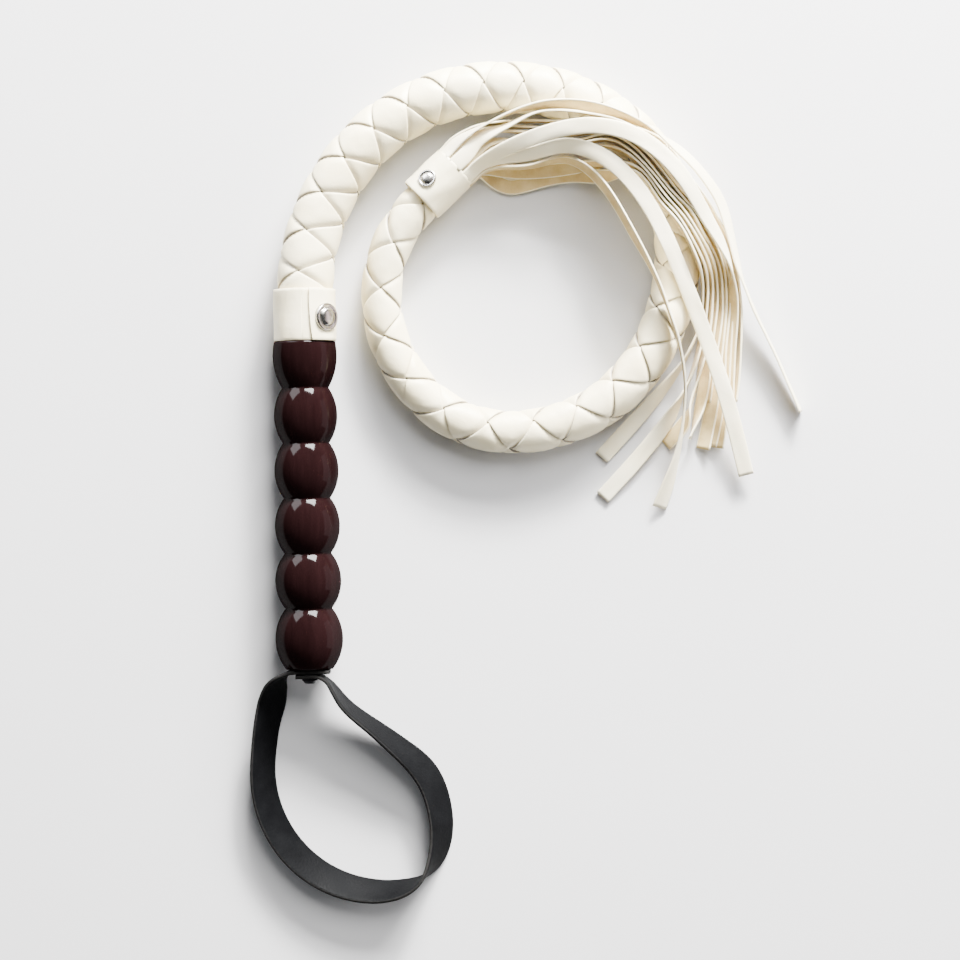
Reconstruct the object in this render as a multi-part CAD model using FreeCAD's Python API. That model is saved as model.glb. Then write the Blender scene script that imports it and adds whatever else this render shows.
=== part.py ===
import FreeCAD, Part
import math
import os

from FreeCAD import Vector

# A braided whip, lying on a table: turned wooden handle, plaited thong in an open coil,
# fringed tassel and wrist strap. Millimetres, +Z up, the table is z = 0 and +Y runs along
# the handle from the butt to the thong.

# ---------------------------------------------------------------- driving dimensions
# handle
HANDLE_X = -17.3            # handle axis
BUTT_Y = -31.4              # face that the wrist strap is screwed to
SHOULDER_Y = 113.8          # face that the thong butts against
GROOVE_RADIUS = 10.3
BUTT_RADIUS = 10.4
SHOULDER_RADIUS = 13.6
BULB_RADII = [15.0, 14.6, 14.4, 14.2, 14.0, 14.1]   # from the butt up
BUTT_BULB_LENGTH = 26.9
TOP_BULB_LENGTH = 20.4
TOP_BULB_MIDDLE = 0.58      # share of its length at which the top bulb is widest
SPIGOT_RADIUS = 9.4
SPIGOT_LENGTH = 17.0
CORE_BORE_RADIUS = 6.5
CORE_BORE_DEPTH = 28.0
EDGE_ROUND = 0.6
OVERRUN = 1.0               # of a cut past the face that it opens

# thong
THONG_START_RADIUS = 12.4
THONG_END_RADIUS = 8.7
TAPER_LENGTH = 480.0        # from there on the thong keeps its end radius
BRAID_WALL = 2.5            # two crossing layers of strip
FIT_GAP = 0.2               # between pieces that sit inside each other
CORNER_SHARE = 0.45         # of the shorter run beside a corner, taken by its arc

# collars
SHEET = 0.9                 # thickness of the sheet that both collars are made from
ROLL_SLACK = 0.1            # between the two turns of the tassel collar
HANDLE_COLLAR_LENGTH = 23.2
HANDLE_FLAP_START = 13.0    # degrees from the top, towards +X
HANDLE_FLAP_END = 118.0
TASSEL_COLLAR_LENGTH = 21.0
TASSEL_COLLAR_COVER = 15.0  # length of thong inside the tassel collar

# rivets
COLLAR_RIVET_RADIUS = 6.2
COLLAR_RIVET_HEIGHT = 2.4
COLLAR_RIVET_PLACE = 10.4   # from the shoulder, along the handle
COLLAR_RIVET_TURN = 47.0    # degrees from the top, towards +X
TASSEL_RIVET_RADIUS = 4.1
TASSEL_RIVET_HEIGHT = 1.8
TASSEL_RIVET_PLACE = 8.0    # from the collar's lower edge
TASSEL_RIVET_TURN = 23.0    # degrees from the top, towards the outside of the coil
POST_RADIUS = 1.6
POST_GAP = 0.1
RIVET_GAP = 0.1             # under the rivet caps
POST_IN_WOOD = 2.6
POST_IN_CORE = 3.0
RIM_SHARE = 0.35            # of the cap's height
DOME_SHARE = 0.68           # dome's radius, of the cap's
DOME_SHOULDER = 0.72        # radius where the dome's slope changes, of its foot
DOME_TOP = 0.3
DOME_RISE = 0.6             # of the dome's height, up to its shoulder

# wrist strap and its screw
STRAP_WIDTH = 15.0
STRAP_THICKNESS = 1.7
STRAP_GAP = 0.3
WASHER_GAP = 0.5            # running gap on both sides of each strap end
SCREW_RADIUS = 2.0
SCREW_LENGTH = 22.0
SCREW_HEAD_RADIUS = 3.2
SCREW_HEAD_HEIGHT = 1.3
SCREW_HEAD_TAPER = 0.7
PILOT_SPARE = 1.0           # bore left in front of the screw's tip
STRAP_HOLE_GAP = 0.1
PILOT_GAP = 0.05
WASHER_RADIUS = 3.5
WASHER_THICKNESS = 0.6

# tassel strands
STRAND_WIDTH = 7.0
STRAND_THICKNESS = 0.9
STRAND_LEAD = 6.0           # straight part in front of the collar
LEAD_DROP = 0.2             # share of the first bend's height and roll that the straight part takes
LEAD_ROLL = 0.15
STRAND_SPACING = 5.0        # between the sections of the solid
STRAP_SPACING = 4.0
STRAND_GAP = 0.5            # between the collar's end and the strands
RING_INSET = 0.05           # strands' outer faces inside the collar's
STRANDS_LIE_OVER = 12.4     # thong radius that the strands' listed heights are for

HANDLE_Z = BULB_RADII[0]    # the largest bulb touches the table
UP = Vector(0, 0, 1)
ALONG_HANDLE = Vector(0, 1, 0)
TASSEL_BORE = THONG_END_RADIUS + FIT_GAP
TASSEL_OUTER = TASSEL_BORE + 2 * SHEET + ROLL_SLACK        # the sheet is rolled twice round
COLLAR_BORE = THONG_START_RADIUS + FIT_GAP
LAYER_1 = -STRAP_GAP - STRAP_THICKNESS / 2           # middles of the strap's two layers, from the butt
LAYER_2 = LAYER_1 - STRAP_THICKNESS - STRAP_GAP
WASHER_Y = BUTT_Y + LAYER_2 - STRAP_THICKNESS / 2 - WASHER_GAP
# radii at which the strands start
OUTER_RING = TASSEL_OUTER - STRAND_THICKNESS / 2 - RING_INSET
INNER_RING = OUTER_RING - 2 * STRAND_THICKNESS


def from_shoulder(rows):
    """Rows whose x and y are counted from the middle of the handle's shoulder."""
    return [(HANDLE_X + x, SHOULDER_Y + y, *rest) for x, y, *rest in rows]


def from_butt(rows):
    """Rows whose x and y are counted from the middle of the handle's butt."""
    return [(HANDLE_X + x, BUTT_Y + y, *rest) for x, y, *rest in rows]


# Route of the thong's centreline, from inside the handle collar to inside the tassel collar:
# x and y from the shoulder, and height above the table.
THONG_ROUTE = from_shoulder([
    (0, FIT_GAP, HANDLE_Z),
    (0, 27.7, HANDLE_Z),
    (4.8, 51.2, 12.8),
    (15.3, 73.2, 12.1),
    (31.3, 92.2, 11.9),
    (53.3, 106.2, 11.6),
    (78.3, 112.7, 11.4),
    (104.3, 112.2, 11.2),
    (129.3, 104.2, 11.0),
    (150.3, 88.7, 10.8),
    (163.7, 66.2, 10.6),
    (168, 40.2, 10.4),
    (164.1, 14.2, 10.3),
    (153.3, -9.8, 10.1),
    (134.8, -29.3, 9.9),
    (111.3, -39.8, 9.6),
    (86.3, -42.3, 9.4),
    (63.3, -34.8, 9.2),
    (45.3, -17.8, 9.1),
    (34.3, 6.7, 9.1),
    (34.3, 32.2, 9.5),
    (44.8, 55.2, 11.1),
    (63.8, 72.7, 11.1),
])

# Wrist strap, from its inner end at the butt, round the loop and back: x and y from the butt, height
# of the lower edge, and how far the top edge leans over to the side (x, y).
BUTT_LOW = HANDLE_Z - STRAP_WIDTH / 2
STRAP_ROUTE = from_butt([
    (9, LAYER_1, BUTT_LOW, 0, 0),
    (4, LAYER_1, BUTT_LOW, 0, 0),
    (0, LAYER_1, BUTT_LOW, 0, 0),
    (-4, LAYER_1, BUTT_LOW, 0, 0),
    (-8.5, LAYER_1 - 0.2, BUTT_LOW, -0.5, 0),
    (-12.7, -3.6, 7.2, -5, -1),
    (-15.7, -8.6, 6.4, -10, -2),
    (-17.7, -15.6, 4.8, -12, -3),
    (-19.9, -24.6, 3.2, -11, -3.5),
    (-21.5, -34.6, 1.6, -10, -4.5),
    (-22.4, -46.6, 1.0, -9, -6),
    (-20.7, -60.6, 0.7, -8.6, -6.5),
    (-13.7, -76.6, 0.7, -8.6, -6.5),
    (2.3, -92.6, 0.7, -8.6, -6.5),
    (22.3, -100.1, 0.7, -8.6, -6.5),
    (38.3, -99.6, 0.7, -8.6, -6.5),
    (49.3, -94.1, 0.7, -8.6, -6.5),
    (56.4, -80.6, 0.7, -8.6, -6.5),
    (56.3, -63.6, 0.7, -8.6, -6.5),
    (51.3, -49.6, 0.8, -8.6, -6),
    (39.3, -36.6, 2.0, -6.5, -4.5),
    (25.3, -25.1, 3.4, -4, -3),
    (14.3, -15.1, 5.5, -2.5, -2),
    (9.8, -8.4, 6.9, -1, -1),
    (7, -5, 7.3, 0, 0),
    (3.6, LAYER_2 - 0.1, BUTT_LOW, 0, 0),
    (0, LAYER_2, BUTT_LOW, 0, 0),
    (-6, LAYER_2, BUTT_LOW, 0, 0),
])

# Tassel strands: ring that the strand starts on, place on it in degrees from the inner side of the
# coil, and then the points that it runs through: x and y from the shoulder, height of the lower
# edge, and roll. A strand with no roll lies flat, one at 90 stands on edge with its upper edge
# towards the inner side. The heights suit a thong that starts at STRANDS_LIE_OVER.
STRANDS = [
    (OUTER_RING, 135, [
        (79.3, 93.2, 18, 75),
        (97.3, 100.7, 19, 90),
        (127.8, 100.7, 22.5, 112),
        (148.8, 93.7, 22, 90),
        (168.8, 80.7, 16.5, 50),
        (185.8, 59.7, 10.5, 50),
        (192.8, 34.7, 7.5, 65),
        (198.8, 15.7, 5.5, 88),
        (208.8, -5.8, 2.5, 92),
        (221.3, -34.3, 0.5, 90),
    ]),
    (OUTER_RING, 90, [
        (77.3, 86.7, 20.3, 15),
        (90.3, 93.2, 19.3, 65),
        (102.8, 98.7, 19, 80),
        (125.8, 98.2, 21.5, 88),
        (149.3, 90.2, 22, 90),
        (167.3, 74.2, 19.5, 88),
        (186.3, 48.7, 6, 88),
        (191.3, 34.2, 3, 88),
        (193.8, 17.7, 1.5, 88),
        (193.8, -3.8, 1, 88),
        (190.8, -29.3, 0.5, 88),
    ]),
    (OUTER_RING, 45, [
        (88.3, 82.2, 21.3, -32),
        (105.8, 88.7, 25.8, -18),
        (127.8, 92.2, 29.5, -5),
        (149.3, 86.2, 32, 5),
        (166.8, 70.2, 31, 15),
        (179.3, 50.7, 22, 35),
        (189.1, 33.2, 12, 74),
        (191.4, 14.7, 4.5, 88),
        (189.8, -8.3, 1, 90),
        (188.8, -28.3, 0.5, 88),
    ]),
    (INNER_RING, 30, [
        (101.3, 81.4, 18.5, -42),
        (116.8, 84.2, 22.5, -25),
        (131.8, 79.7, 25.5, -15),
        (149.3, 63.2, 26.5, 0),
        (161.3, 41.2, 25.5, 8),
        (170.8, 18.2, 20.5, 10),
        (180.3, -6.3, 13.5, 8),
        (188.3, -30.8, 10, 4),
        (196.3, -62.3, 5, 0),
    ]),
    (OUTER_RING, 0, [
        (101.3, 76.8, 8.2, -84),
        (116.8, 79.2, 11.5, -74),
        (132.3, 68.2, 17.5, -65),
        (144.8, 47.2, 21.5, -70),
        (155.3, 26.7, 21.5, -80),
        (162.8, 6.7, 21, -88),
        (167.8, -13.3, 15, -90),
        (168.3, -32.8, 8.5, -85),
        (165.3, -52.8, 3, -65),
        (157.3, -76.3, 0.5, -25),
    ]),
    (OUTER_RING, 315, [
        (88.3, 70.2, 1.5, 10),
        (102.8, 70.7, 2, 8),
        (123.8, 73.2, 5, 20),
        (135.3, 72.2, 9, 40),
        (147.8, 72.7, 17, 88),
        (157.8, 59.7, 19.5, 90),
        (163.8, 52.2, 21.5, 90),
        (169.8, 42.7, 21.5, 90),
        (174.3, 32.7, 19.5, 90),
        (177.3, 20.2, 10.5, 90),
        (172.8, -3.8, 1.5, 85),
        (160.3, -22.3, 1.5, 50),
        (147.8, -36.3, 1.5, 18),
        (131.8, -53.3, 1, 0),
    ]),
    (INNER_RING, 312, [
        (85.8, 76.7, 3, 35),
        (102.8, 75.2, 3.5, 28),
        (123.8, 76.7, 6.5, 45),
        (136.8, 77.2, 13, 80),
        (148.8, 73.7, 18.5, 90),
        (159.3, 60.2, 20.5, 90),
        (165.3, 52.7, 21.5, 90),
        (171.3, 42.7, 21, 90),
        (176.3, 33.2, 17.5, 90),
        (179.3, 20.2, 5.5, 90),
        (176.3, -3.8, 1, 90),
        (168.8, -24.8, 1, 80),
        (161.8, -36.8, 2, 35),
        (151.3, -50.3, 2.5, 8),
        (131.8, -71.3, 1, 0),
    ]),
    (OUTER_RING, 270, [
        (83.8, 85.2, 1.5, 3),
        (93.8, 85.2, 2.5, 40),
        (102.8, 84.2, 5.5, 75),
        (122.8, 82.7, 12, 90),
        (133.1, 84.5, 15, 90),
        (148.8, 76.2, 20, 90),
        (160.8, 60.7, 21.5, 90),
        (166.8, 53.2, 21.5, 90),
        (173.3, 43.2, 20, 90),
        (178.3, 33.2, 14.5, 90),
        (181.3, 19.7, 3.5, 90),
        (178.3, -5.8, 1, 90),
        (172.3, -29.3, 1, 80),
        (167.8, -40.3, 0.5, 150),
        (160.3, -47.8, 0.5, 177),
    ]),
    (INNER_RING, 82, [
        (82.3, 86.7, 15.5, 50),
        (102.8, 86.2, 12.5, 88),
        (122.8, 85.2, 16, 90),
        (134.8, 86.7, 18.5, 90),
        (149.8, 77.2, 21, 90),
        (162.3, 61.7, 22, 90),
        (168.8, 53.7, 21.5, 90),
        (174.8, 43.2, 19, 90),
        (180.3, 33.7, 11.5, 90),
        (183.3, 19.7, 2, 90),
        (180.3, -5.8, 1, 90),
        (177.3, -26.3, 1, 88),
        (171.3, -45.8, 1, 80),
    ]),
    (OUTER_RING, 225, [
        (82.3, 88.2, 3, 112),
        (102.8, 89.2, 8.5, 90),
        (122.8, 87.2, 14.5, 90),
        (135.8, 88.7, 19.5, 90),
        (151.3, 78.2, 21.5, 90),
        (163.8, 62.2, 22, 90),
        (170.8, 54.2, 21, 90),
        (176.8, 43.7, 16.5, 90),
        (182.3, 33.7, 8.5, 90),
        (185.3, 19.2, 1.5, 90),
        (182.3, -5.8, 1, 90),
        (178.3, -29.3, 0.5, 88),
    ]),
    (INNER_RING, 131, [
        (102.8, 91.2, 12, 90),
        (123.8, 89.7, 16.5, 90),
        (136.8, 89.7, 20.5, 90),
        (152.8, 79.2, 22.5, 90),
        (165.8, 63.2, 22, 90),
        (172.3, 54.7, 20, 90),
        (178.8, 44.2, 13.5, 90),
        (184.3, 33.7, 6, 90),
        (186.8, 19.2, 1.5, 90),
        (184.3, -5.8, 1, 90),
        (181.8, -28.3, 1, 88),
        (177.3, -50.3, 0.5, 85),
    ]),
    (INNER_RING, 186, [
        (102.8, 93.7, 11, 90),
        (123.8, 92.2, 17.5, 90),
        (137.8, 91.2, 21.5, 90),
        (153.8, 80.2, 22.5, 90),
        (167.3, 63.7, 21.5, 90),
        (174.3, 55.7, 18.5, 90),
        (180.8, 44.7, 10.5, 90),
        (185.5, 34.1, 4.5, 90),
        (188.3, 18.7, 1, 90),
        (185.8, -5.8, 1, 90),
        (184.3, -28.3, 1, 88),
        (180.3, -48.8, 0.5, 85),
    ]),
    (OUTER_RING, 180, [
        (102.8, 96.2, 12, 90),
        (124.3, 94.7, 19.5, 90),
        (138.3, 92.7, 22, 90),
        (155.3, 81.7, 22.5, 90),
        (168.8, 64.7, 21, 90),
        (175.8, 56.2, 16.5, 90),
        (182.8, 45.2, 8.5, 90),
        (187.4, 34.4, 3.5, 90),
        (189.8, 18.7, 1, 90),
        (187.8, -6.3, 1, 90),
        (186.3, -28.3, 1, 88),
        (183.3, -49.8, 0.5, 85),
    ]),
]

os.makedirs("parts", exist_ok=True)


def save(name, shape):
    """Write one node, and say what it is."""
    solids = shape.Solids
    whole = shape if len(solids) != 1 else solids[0]
    whole.exportStep("parts/%s.step" % name)
    box = whole.BoundBox
    print("%-22s solids %d valid %s volume %9.1f  z %.2f to %.2f"
          % (name, len(solids), whole.isValid(), whole.Volume, box.ZMin, box.ZMax))


# ---------------------------------------------------------------- tube along a route
def corners(route):
    """Straight runs joined by tangent arcs: (arc start, arc middle, arc end, radius) per corner."""
    found = []
    for before, here, after in zip(route, route[1:], route[2:]):
        a, b, c = Vector(*before), Vector(*here), Vector(*after)
        back, ahead = (a - b), (c - b)
        reach = CORNER_SHARE * min(back.Length, ahead.Length)
        back.normalize()
        ahead.normalize()
        turn = math.pi - back.getAngle(ahead)
        radius = reach / math.tan(turn / 2)
        inward = (back + ahead).normalize()
        middle = b + inward * (radius / math.cos(turn / 2) - radius)
        found.append((b + back * reach, middle, b + ahead * reach, radius, turn))
    return found


def thong_radius(distance):
    """Radius of the thong at a distance along it."""
    share = min(distance / TAPER_LENGTH, 1.0)
    return THONG_START_RADIUS + (THONG_END_RADIUS - THONG_START_RADIUS) * share


def ring_face(centre, direction, outer, inner):
    rim = Part.Wire(Part.makeCircle(outer, centre, direction))
    if inner <= 0:
        return Part.Face(rim)
    return Part.Face([rim, Part.Wire(Part.makeCircle(inner, centre, direction))])


def pipe(start, direction, length, outer, inner):
    solid = Part.makeCylinder(outer, length, start, direction)
    return solid.cut(Part.makeCylinder(inner, length, start, direction))


def plain_cone(start, end, radii):
    axis = end - start
    if abs(radii[0] - radii[1]) < 1e-6:
        return Part.makeCylinder(radii[0], axis.Length, start, axis)
    return Part.makeCone(radii[0], radii[1], axis.Length, start, axis)


def cone_piece(start, end, outer, inner):
    """A straight piece whose radii change from one end to the other."""
    solid = plain_cone(start, end, outer)
    if inner is not None:
        solid = solid.cut(plain_cone(start, end, inner))
    return solid


def tapered_tube(route, outer_at, inner_at):
    """Arcs of constant radius, with the taper taken up on the straight pieces between them."""
    turns = corners(route)
    pieces = []
    walked = 0.0
    place = Vector(*route[0])
    radius = outer_at(0.0)
    bore = inner_at(0.0) if inner_at else None
    for start, middle, end, bend, turn in turns:
        straight = (start - place).Length
        arc_length = bend * turn
        halfway = walked + straight + arc_length / 2
        next_radius = outer_at(halfway)
        next_bore = inner_at(halfway) if inner_at else None
        hole = (bore, next_bore) if inner_at else None
        pieces.append(cone_piece(place, start, (radius, next_radius), hole))
        heading = (start - place).normalize()
        centre = middle + (((start + end) * 0.5) - middle).normalize() * bend
        hinge = heading.cross(centre - start).normalize()
        section = ring_face(start, heading, next_radius, next_bore if inner_at else 0)
        pieces.append(section.revolve(centre, hinge, math.degrees(turn)))
        place, radius, bore = end, next_radius, next_bore
        walked += straight + arc_length
    last = Vector(*route[-1])
    walked += (last - place).Length
    final = (radius, outer_at(walked))
    hole = (bore, inner_at(walked)) if inner_at else None
    pieces.append(cone_piece(place, last, final, hole))
    return pieces[0].multiFuse(pieces[1:]), walked


def frame_at_end():
    """Origin and axes of the thong's last straight run, pointing out of its end."""
    tail, tip = Vector(*THONG_ROUTE[-2]), Vector(*THONG_ROUTE[-1])
    ahead = (tip - tail).normalize()
    inner_side = ahead.cross(UP).normalize()
    return tip, ahead, inner_side


# ---------------------------------------------------------------- handle
def make_handle():
    """Turned grip: six bulbs, a spigot for the thong, a bore for its core and a pilot hole."""
    count = len(BULB_RADII)
    first = BUTT_Y + BUTT_BULB_LENGTH
    last = SHOULDER_Y - TOP_BULB_LENGTH
    pitch = (last - first) / (count - 2)
    grooves = [first + pitch * i for i in range(count - 1)]
    stations = [(BUTT_RADIUS, BUTT_Y)] + [(GROOVE_RADIUS, y) for y in grooves]
    stations.append((SHOULDER_RADIUS, SHOULDER_Y))
    edges = []
    for bulb, (low, high) in enumerate(zip(stations, stations[1:])):
        middle = (low[1] + high[1]) / 2
        if bulb == count - 1:
            middle = low[1] + TOP_BULB_LENGTH * TOP_BULB_MIDDLE
        edges.append(Part.Arc(Vector(low[0], low[1], 0), Vector(BULB_RADII[bulb], middle, 0),
                              Vector(high[0], high[1], 0)).toShape())
    top = SHOULDER_Y + SPIGOT_LENGTH
    corner_points = [
        Vector(SHOULDER_RADIUS, SHOULDER_Y, 0),
        Vector(SPIGOT_RADIUS, SHOULDER_Y, 0),
        Vector(SPIGOT_RADIUS, top - EDGE_ROUND, 0),
        Vector(SPIGOT_RADIUS - EDGE_ROUND, top, 0),
        Vector(0, top, 0),
        Vector(0, BUTT_Y, 0),
        Vector(BUTT_RADIUS, BUTT_Y, 0),
    ]
    for a, b in zip(corner_points, corner_points[1:]):
        edges.append(Part.makeLine(a, b))
    profile = Part.Face(Part.Wire(Part.__sortEdges__(edges)))
    wood = profile.revolve(Vector(0, 0, 0), ALONG_HANDLE, 360)
    wood.translate(Vector(HANDLE_X, 0, HANDLE_Z))
    axis_start = Vector(HANDLE_X, top - CORE_BORE_DEPTH, HANDLE_Z)
    wood = wood.cut(Part.makeCylinder(CORE_BORE_RADIUS, CORE_BORE_DEPTH + OVERRUN, axis_start,
                                      ALONG_HANDLE))
    pilot_length = SCREW_LENGTH - (BUTT_Y - WASHER_Y) - WASHER_THICKNESS + PILOT_SPARE
    pilot = Part.makeCylinder(SCREW_RADIUS + PILOT_GAP, pilot_length + OVERRUN,
                              Vector(HANDLE_X, BUTT_Y - OVERRUN, HANDLE_Z), ALONG_HANDLE)
    return wood.cut(pilot)


def collar_rivet_axis():
    """Point on the handle's axis, and the direction that the rivet points."""
    turn = math.radians(COLLAR_RIVET_TURN)
    return (Vector(HANDLE_X, SHOULDER_Y + COLLAR_RIVET_PLACE, HANDLE_Z),
            Vector(math.sin(turn), 0, math.cos(turn)))


def tassel_rivet_axis():
    """Point on the tassel collar's axis, and the direction that the rivet points."""
    tip, ahead, inner_side = frame_at_end()
    turn = math.radians(TASSEL_RIVET_TURN)
    place = tip + ahead * (TASSEL_RIVET_PLACE - TASSEL_COLLAR_COVER)
    return place, UP * math.cos(turn) - inner_side * math.sin(turn)


def drill(shape, axis, inner_end, outer_end):
    """A hole for a rivet post, between two distances from the axis that it points away from."""
    origin, direction = axis
    return shape.cut(Part.makeCylinder(POST_RADIUS + POST_GAP, outer_end - inner_end,
                                       origin + direction * inner_end, direction))


def make_handle_collar():
    """One turn of sheet, and the flap that laps over it."""
    start = Vector(HANDLE_X, SHOULDER_Y, HANDLE_Z)
    collar = pipe(start, ALONG_HANDLE, HANDLE_COLLAR_LENGTH, COLLAR_BORE + SHEET, COLLAR_BORE)
    inner = COLLAR_BORE + SHEET
    outer = inner + SHEET
    angles = [math.radians(a) for a in (HANDLE_FLAP_START, (HANDLE_FLAP_START + HANDLE_FLAP_END) / 2,
                                        HANDLE_FLAP_END)]
    over = [start + Vector(math.sin(a), 0, math.cos(a)) * outer for a in angles]
    under = [start + Vector(math.sin(a), 0, math.cos(a)) * inner for a in angles]
    flap = Part.Wire([
        Part.Arc(*over).toShape(),
        Part.makeLine(over[2], under[2]),
        Part.Arc(under[2], under[1], under[0]).toShape(),
        Part.makeLine(under[0], over[0]),
    ])
    collar = collar.fuse(Part.Face(flap).extrude(ALONG_HANDLE * HANDLE_COLLAR_LENGTH))
    return drill(collar, collar_rivet_axis(), THONG_START_RADIUS, outer + OVERRUN)


def make_rivet(axis, drum, seat, radius, height, depth):
    """A domed cap hollowed underneath to sit on a drum of radius seat, and the post below it."""
    origin, direction = axis
    rim = height * RIM_SHARE
    skirt = seat - math.sqrt(seat * seat - radius * radius)
    base = origin + direction * (seat - skirt)
    cap = Part.makeCylinder(radius, skirt + rim, base, direction)
    dome_base = origin + direction * (seat + rim)
    dome_radius = radius * DOME_SHARE
    shoulder_radius = dome_radius * DOME_SHOULDER
    shoulder_rise = (height - rim) * DOME_RISE
    cap = cap.fuse(Part.makeCone(dome_radius, shoulder_radius, shoulder_rise, dome_base, direction))
    crown_base = dome_base + direction * shoulder_rise
    crown_rise = (height - rim) * (1 - DOME_RISE)
    top_radius = dome_radius * DOME_TOP
    cap = cap.fuse(Part.makeCone(shoulder_radius, top_radius, crown_rise, crown_base, direction))
    cap = cap.cut(Part.makeCylinder(seat + RIVET_GAP, 4 * radius, origin - drum * (2 * radius), drum))
    socket_depth = rim + crown_rise
    cap = cap.cut(Part.makeCylinder(POST_RADIUS + POST_GAP, skirt + socket_depth, base, direction))
    post_length = seat - depth + socket_depth
    post = Part.makeCylinder(POST_RADIUS, post_length, origin + direction * depth, direction)
    return cap, post


# ---------------------------------------------------------------- thong
def make_thong():
    """Core and braid. The core's tail goes into the handle, and the braid is drawn over the spigot."""
    braid, length = tapered_tube(THONG_ROUTE, thong_radius, lambda d: thong_radius(d) - BRAID_WALL)
    core_radius = lambda d: thong_radius(d) - BRAID_WALL - FIT_GAP
    core, _ = tapered_tube(THONG_ROUTE, core_radius, None)
    spigot_end = SHOULDER_Y + SPIGOT_LENGTH + FIT_GAP
    start = Vector(HANDLE_X, SHOULDER_Y - OVERRUN, HANDLE_Z)
    room = spigot_end - SHOULDER_Y + OVERRUN
    core = core.cut(Part.makeCylinder(THONG_START_RADIUS + OVERRUN, room, start, ALONG_HANDLE))
    tail_radius = CORE_BORE_RADIUS - FIT_GAP
    tail_length = CORE_BORE_DEPTH - FIT_GAP
    tail_start = Vector(HANDLE_X, SHOULDER_Y + SPIGOT_LENGTH - tail_length, HANDLE_Z)
    core = core.fuse(Part.makeCylinder(tail_radius, tail_length + 2 * FIT_GAP, tail_start, ALONG_HANDLE))
    core = drill(core, tassel_rivet_axis(), THONG_END_RADIUS - BRAID_WALL - POST_IN_CORE - FIT_GAP,
                 THONG_END_RADIUS)
    braid = drill(braid, tassel_rivet_axis(), 0, TASSEL_OUTER)
    braid = drill(braid, collar_rivet_axis(), 0, COLLAR_BORE)
    return core, braid, length


# ---------------------------------------------------------------- tassel
def make_tassel_collar():
    tip, ahead, _ = frame_at_end()
    start = tip - ahead * TASSEL_COLLAR_COVER
    collar = pipe(start, ahead, TASSEL_COLLAR_LENGTH, TASSEL_OUTER, TASSEL_BORE)
    return drill(collar, tassel_rivet_axis(), 0, TASSEL_OUTER + OVERRUN)


def spline_bends(walked, values):
    """Second derivatives of a smooth curve through the values, straight at both ends."""
    count = len(values)
    upper = [0.0] * count
    right = [0.0] * count
    for i in range(1, count - 1):
        before = walked[i] - walked[i - 1]
        after = walked[i + 1] - walked[i]
        change = (values[i + 1] - values[i]) / after - (values[i] - values[i - 1]) / before
        pivot = 2 * (before + after) - before * upper[i - 1]
        upper[i] = after / pivot
        right[i] = (6 * change - before * right[i - 1]) / pivot
    bends = [0.0] * count
    for i in range(count - 2, 0, -1):
        bends[i] = right[i] - upper[i] * bends[i + 1]
    return bends


def stretch(walked, place):
    """Number of the run that a place is in, its length, and the share of it before the place."""
    i = 1
    while i < len(walked) - 1 and place > walked[i]:
        i += 1
    run = walked[i] - walked[i - 1]
    return i, run, min(1.0, max(0.0, (place - walked[i - 1]) / run))


def smooth(walked, values, bends, place):
    i, run, share = stretch(walked, place)
    left = 1 - share
    bow = (left ** 3 - left) * bends[i - 1] + (share ** 3 - share) * bends[i]
    return left * values[i - 1] + share * values[i] + bow * run * run / 6


def level(walked, values, place):
    """Value eased between the listed ones so that it never goes beyond its neighbours."""
    slopes = [(b - a) / (q - p) for a, b, p, q in zip(values, values[1:], walked, walked[1:])]
    i, run, share = stretch(walked, place)

    def slope(at):
        if at == 0 or at == len(values) - 1:
            return slopes[0] if at == 0 else slopes[-1]
        before, after = slopes[at - 1], slopes[at]
        return 0.0 if before * after <= 0 else 2 * before * after / (before + after)

    start = slope(i - 1)
    end = slope(i)
    rise = values[i] - values[i - 1]
    cubic = share * share * (3 - 2 * share) * rise
    ease = share * (1 - share) ** 2 * start - share * share * (1 - share) * end
    return values[i - 1] + cubic + ease * run


def band(rows, side_at, width, thickness, spacing):
    """A flat strip whose middle runs over the x and y of the rows and whose lower edge is at their z.
    side_at(distances, place, tangent) gives the direction of its width."""
    walked = [0.0]
    for a, b in zip(rows, rows[1:]):
        walked.append(walked[-1] + math.dist(a[:3], b[:3]))
    xs = [row[0] for row in rows]
    ys = [row[1] for row in rows]
    lows = [row[2] for row in rows]
    x_bends = spline_bends(walked, xs)
    y_bends = spline_bends(walked, ys)

    def on_edge(place):
        return Vector(smooth(walked, xs, x_bends, place), smooth(walked, ys, y_bends, place),
                      level(walked, lows, place))

    count = round(walked[-1] / spacing)
    wires = []
    length = 0.0
    last = None
    for station in range(count + 1):
        place = walked[-1] * station / count
        tangent = (on_edge(place + 0.5) - on_edge(place - 0.5)).normalize()
        side = side_at(walked, place, tangent)
        side = (side - tangent * side.dot(tangent)).normalize()
        centre = on_edge(place) + UP * (abs(side.z) * width / 2)
        across = side * (width / 2)
        through = tangent.cross(side).normalize() * (thickness / 2)
        wires.append(Part.makePolygon([centre + across + through, centre - across + through,
                                       centre - across - through, centre + across - through,
                                       centre + across + through]))
        length += (centre - last).Length if last else 0.0
        last = centre
    return Part.makeLoft(wires, True, True), length


def nearest_half_turn(roll, target):
    """The same strip described by a roll within a quarter turn of the target."""
    while roll - target > 90:
        roll -= 180
    while roll - target < -90:
        roll += 180
    return roll


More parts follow.
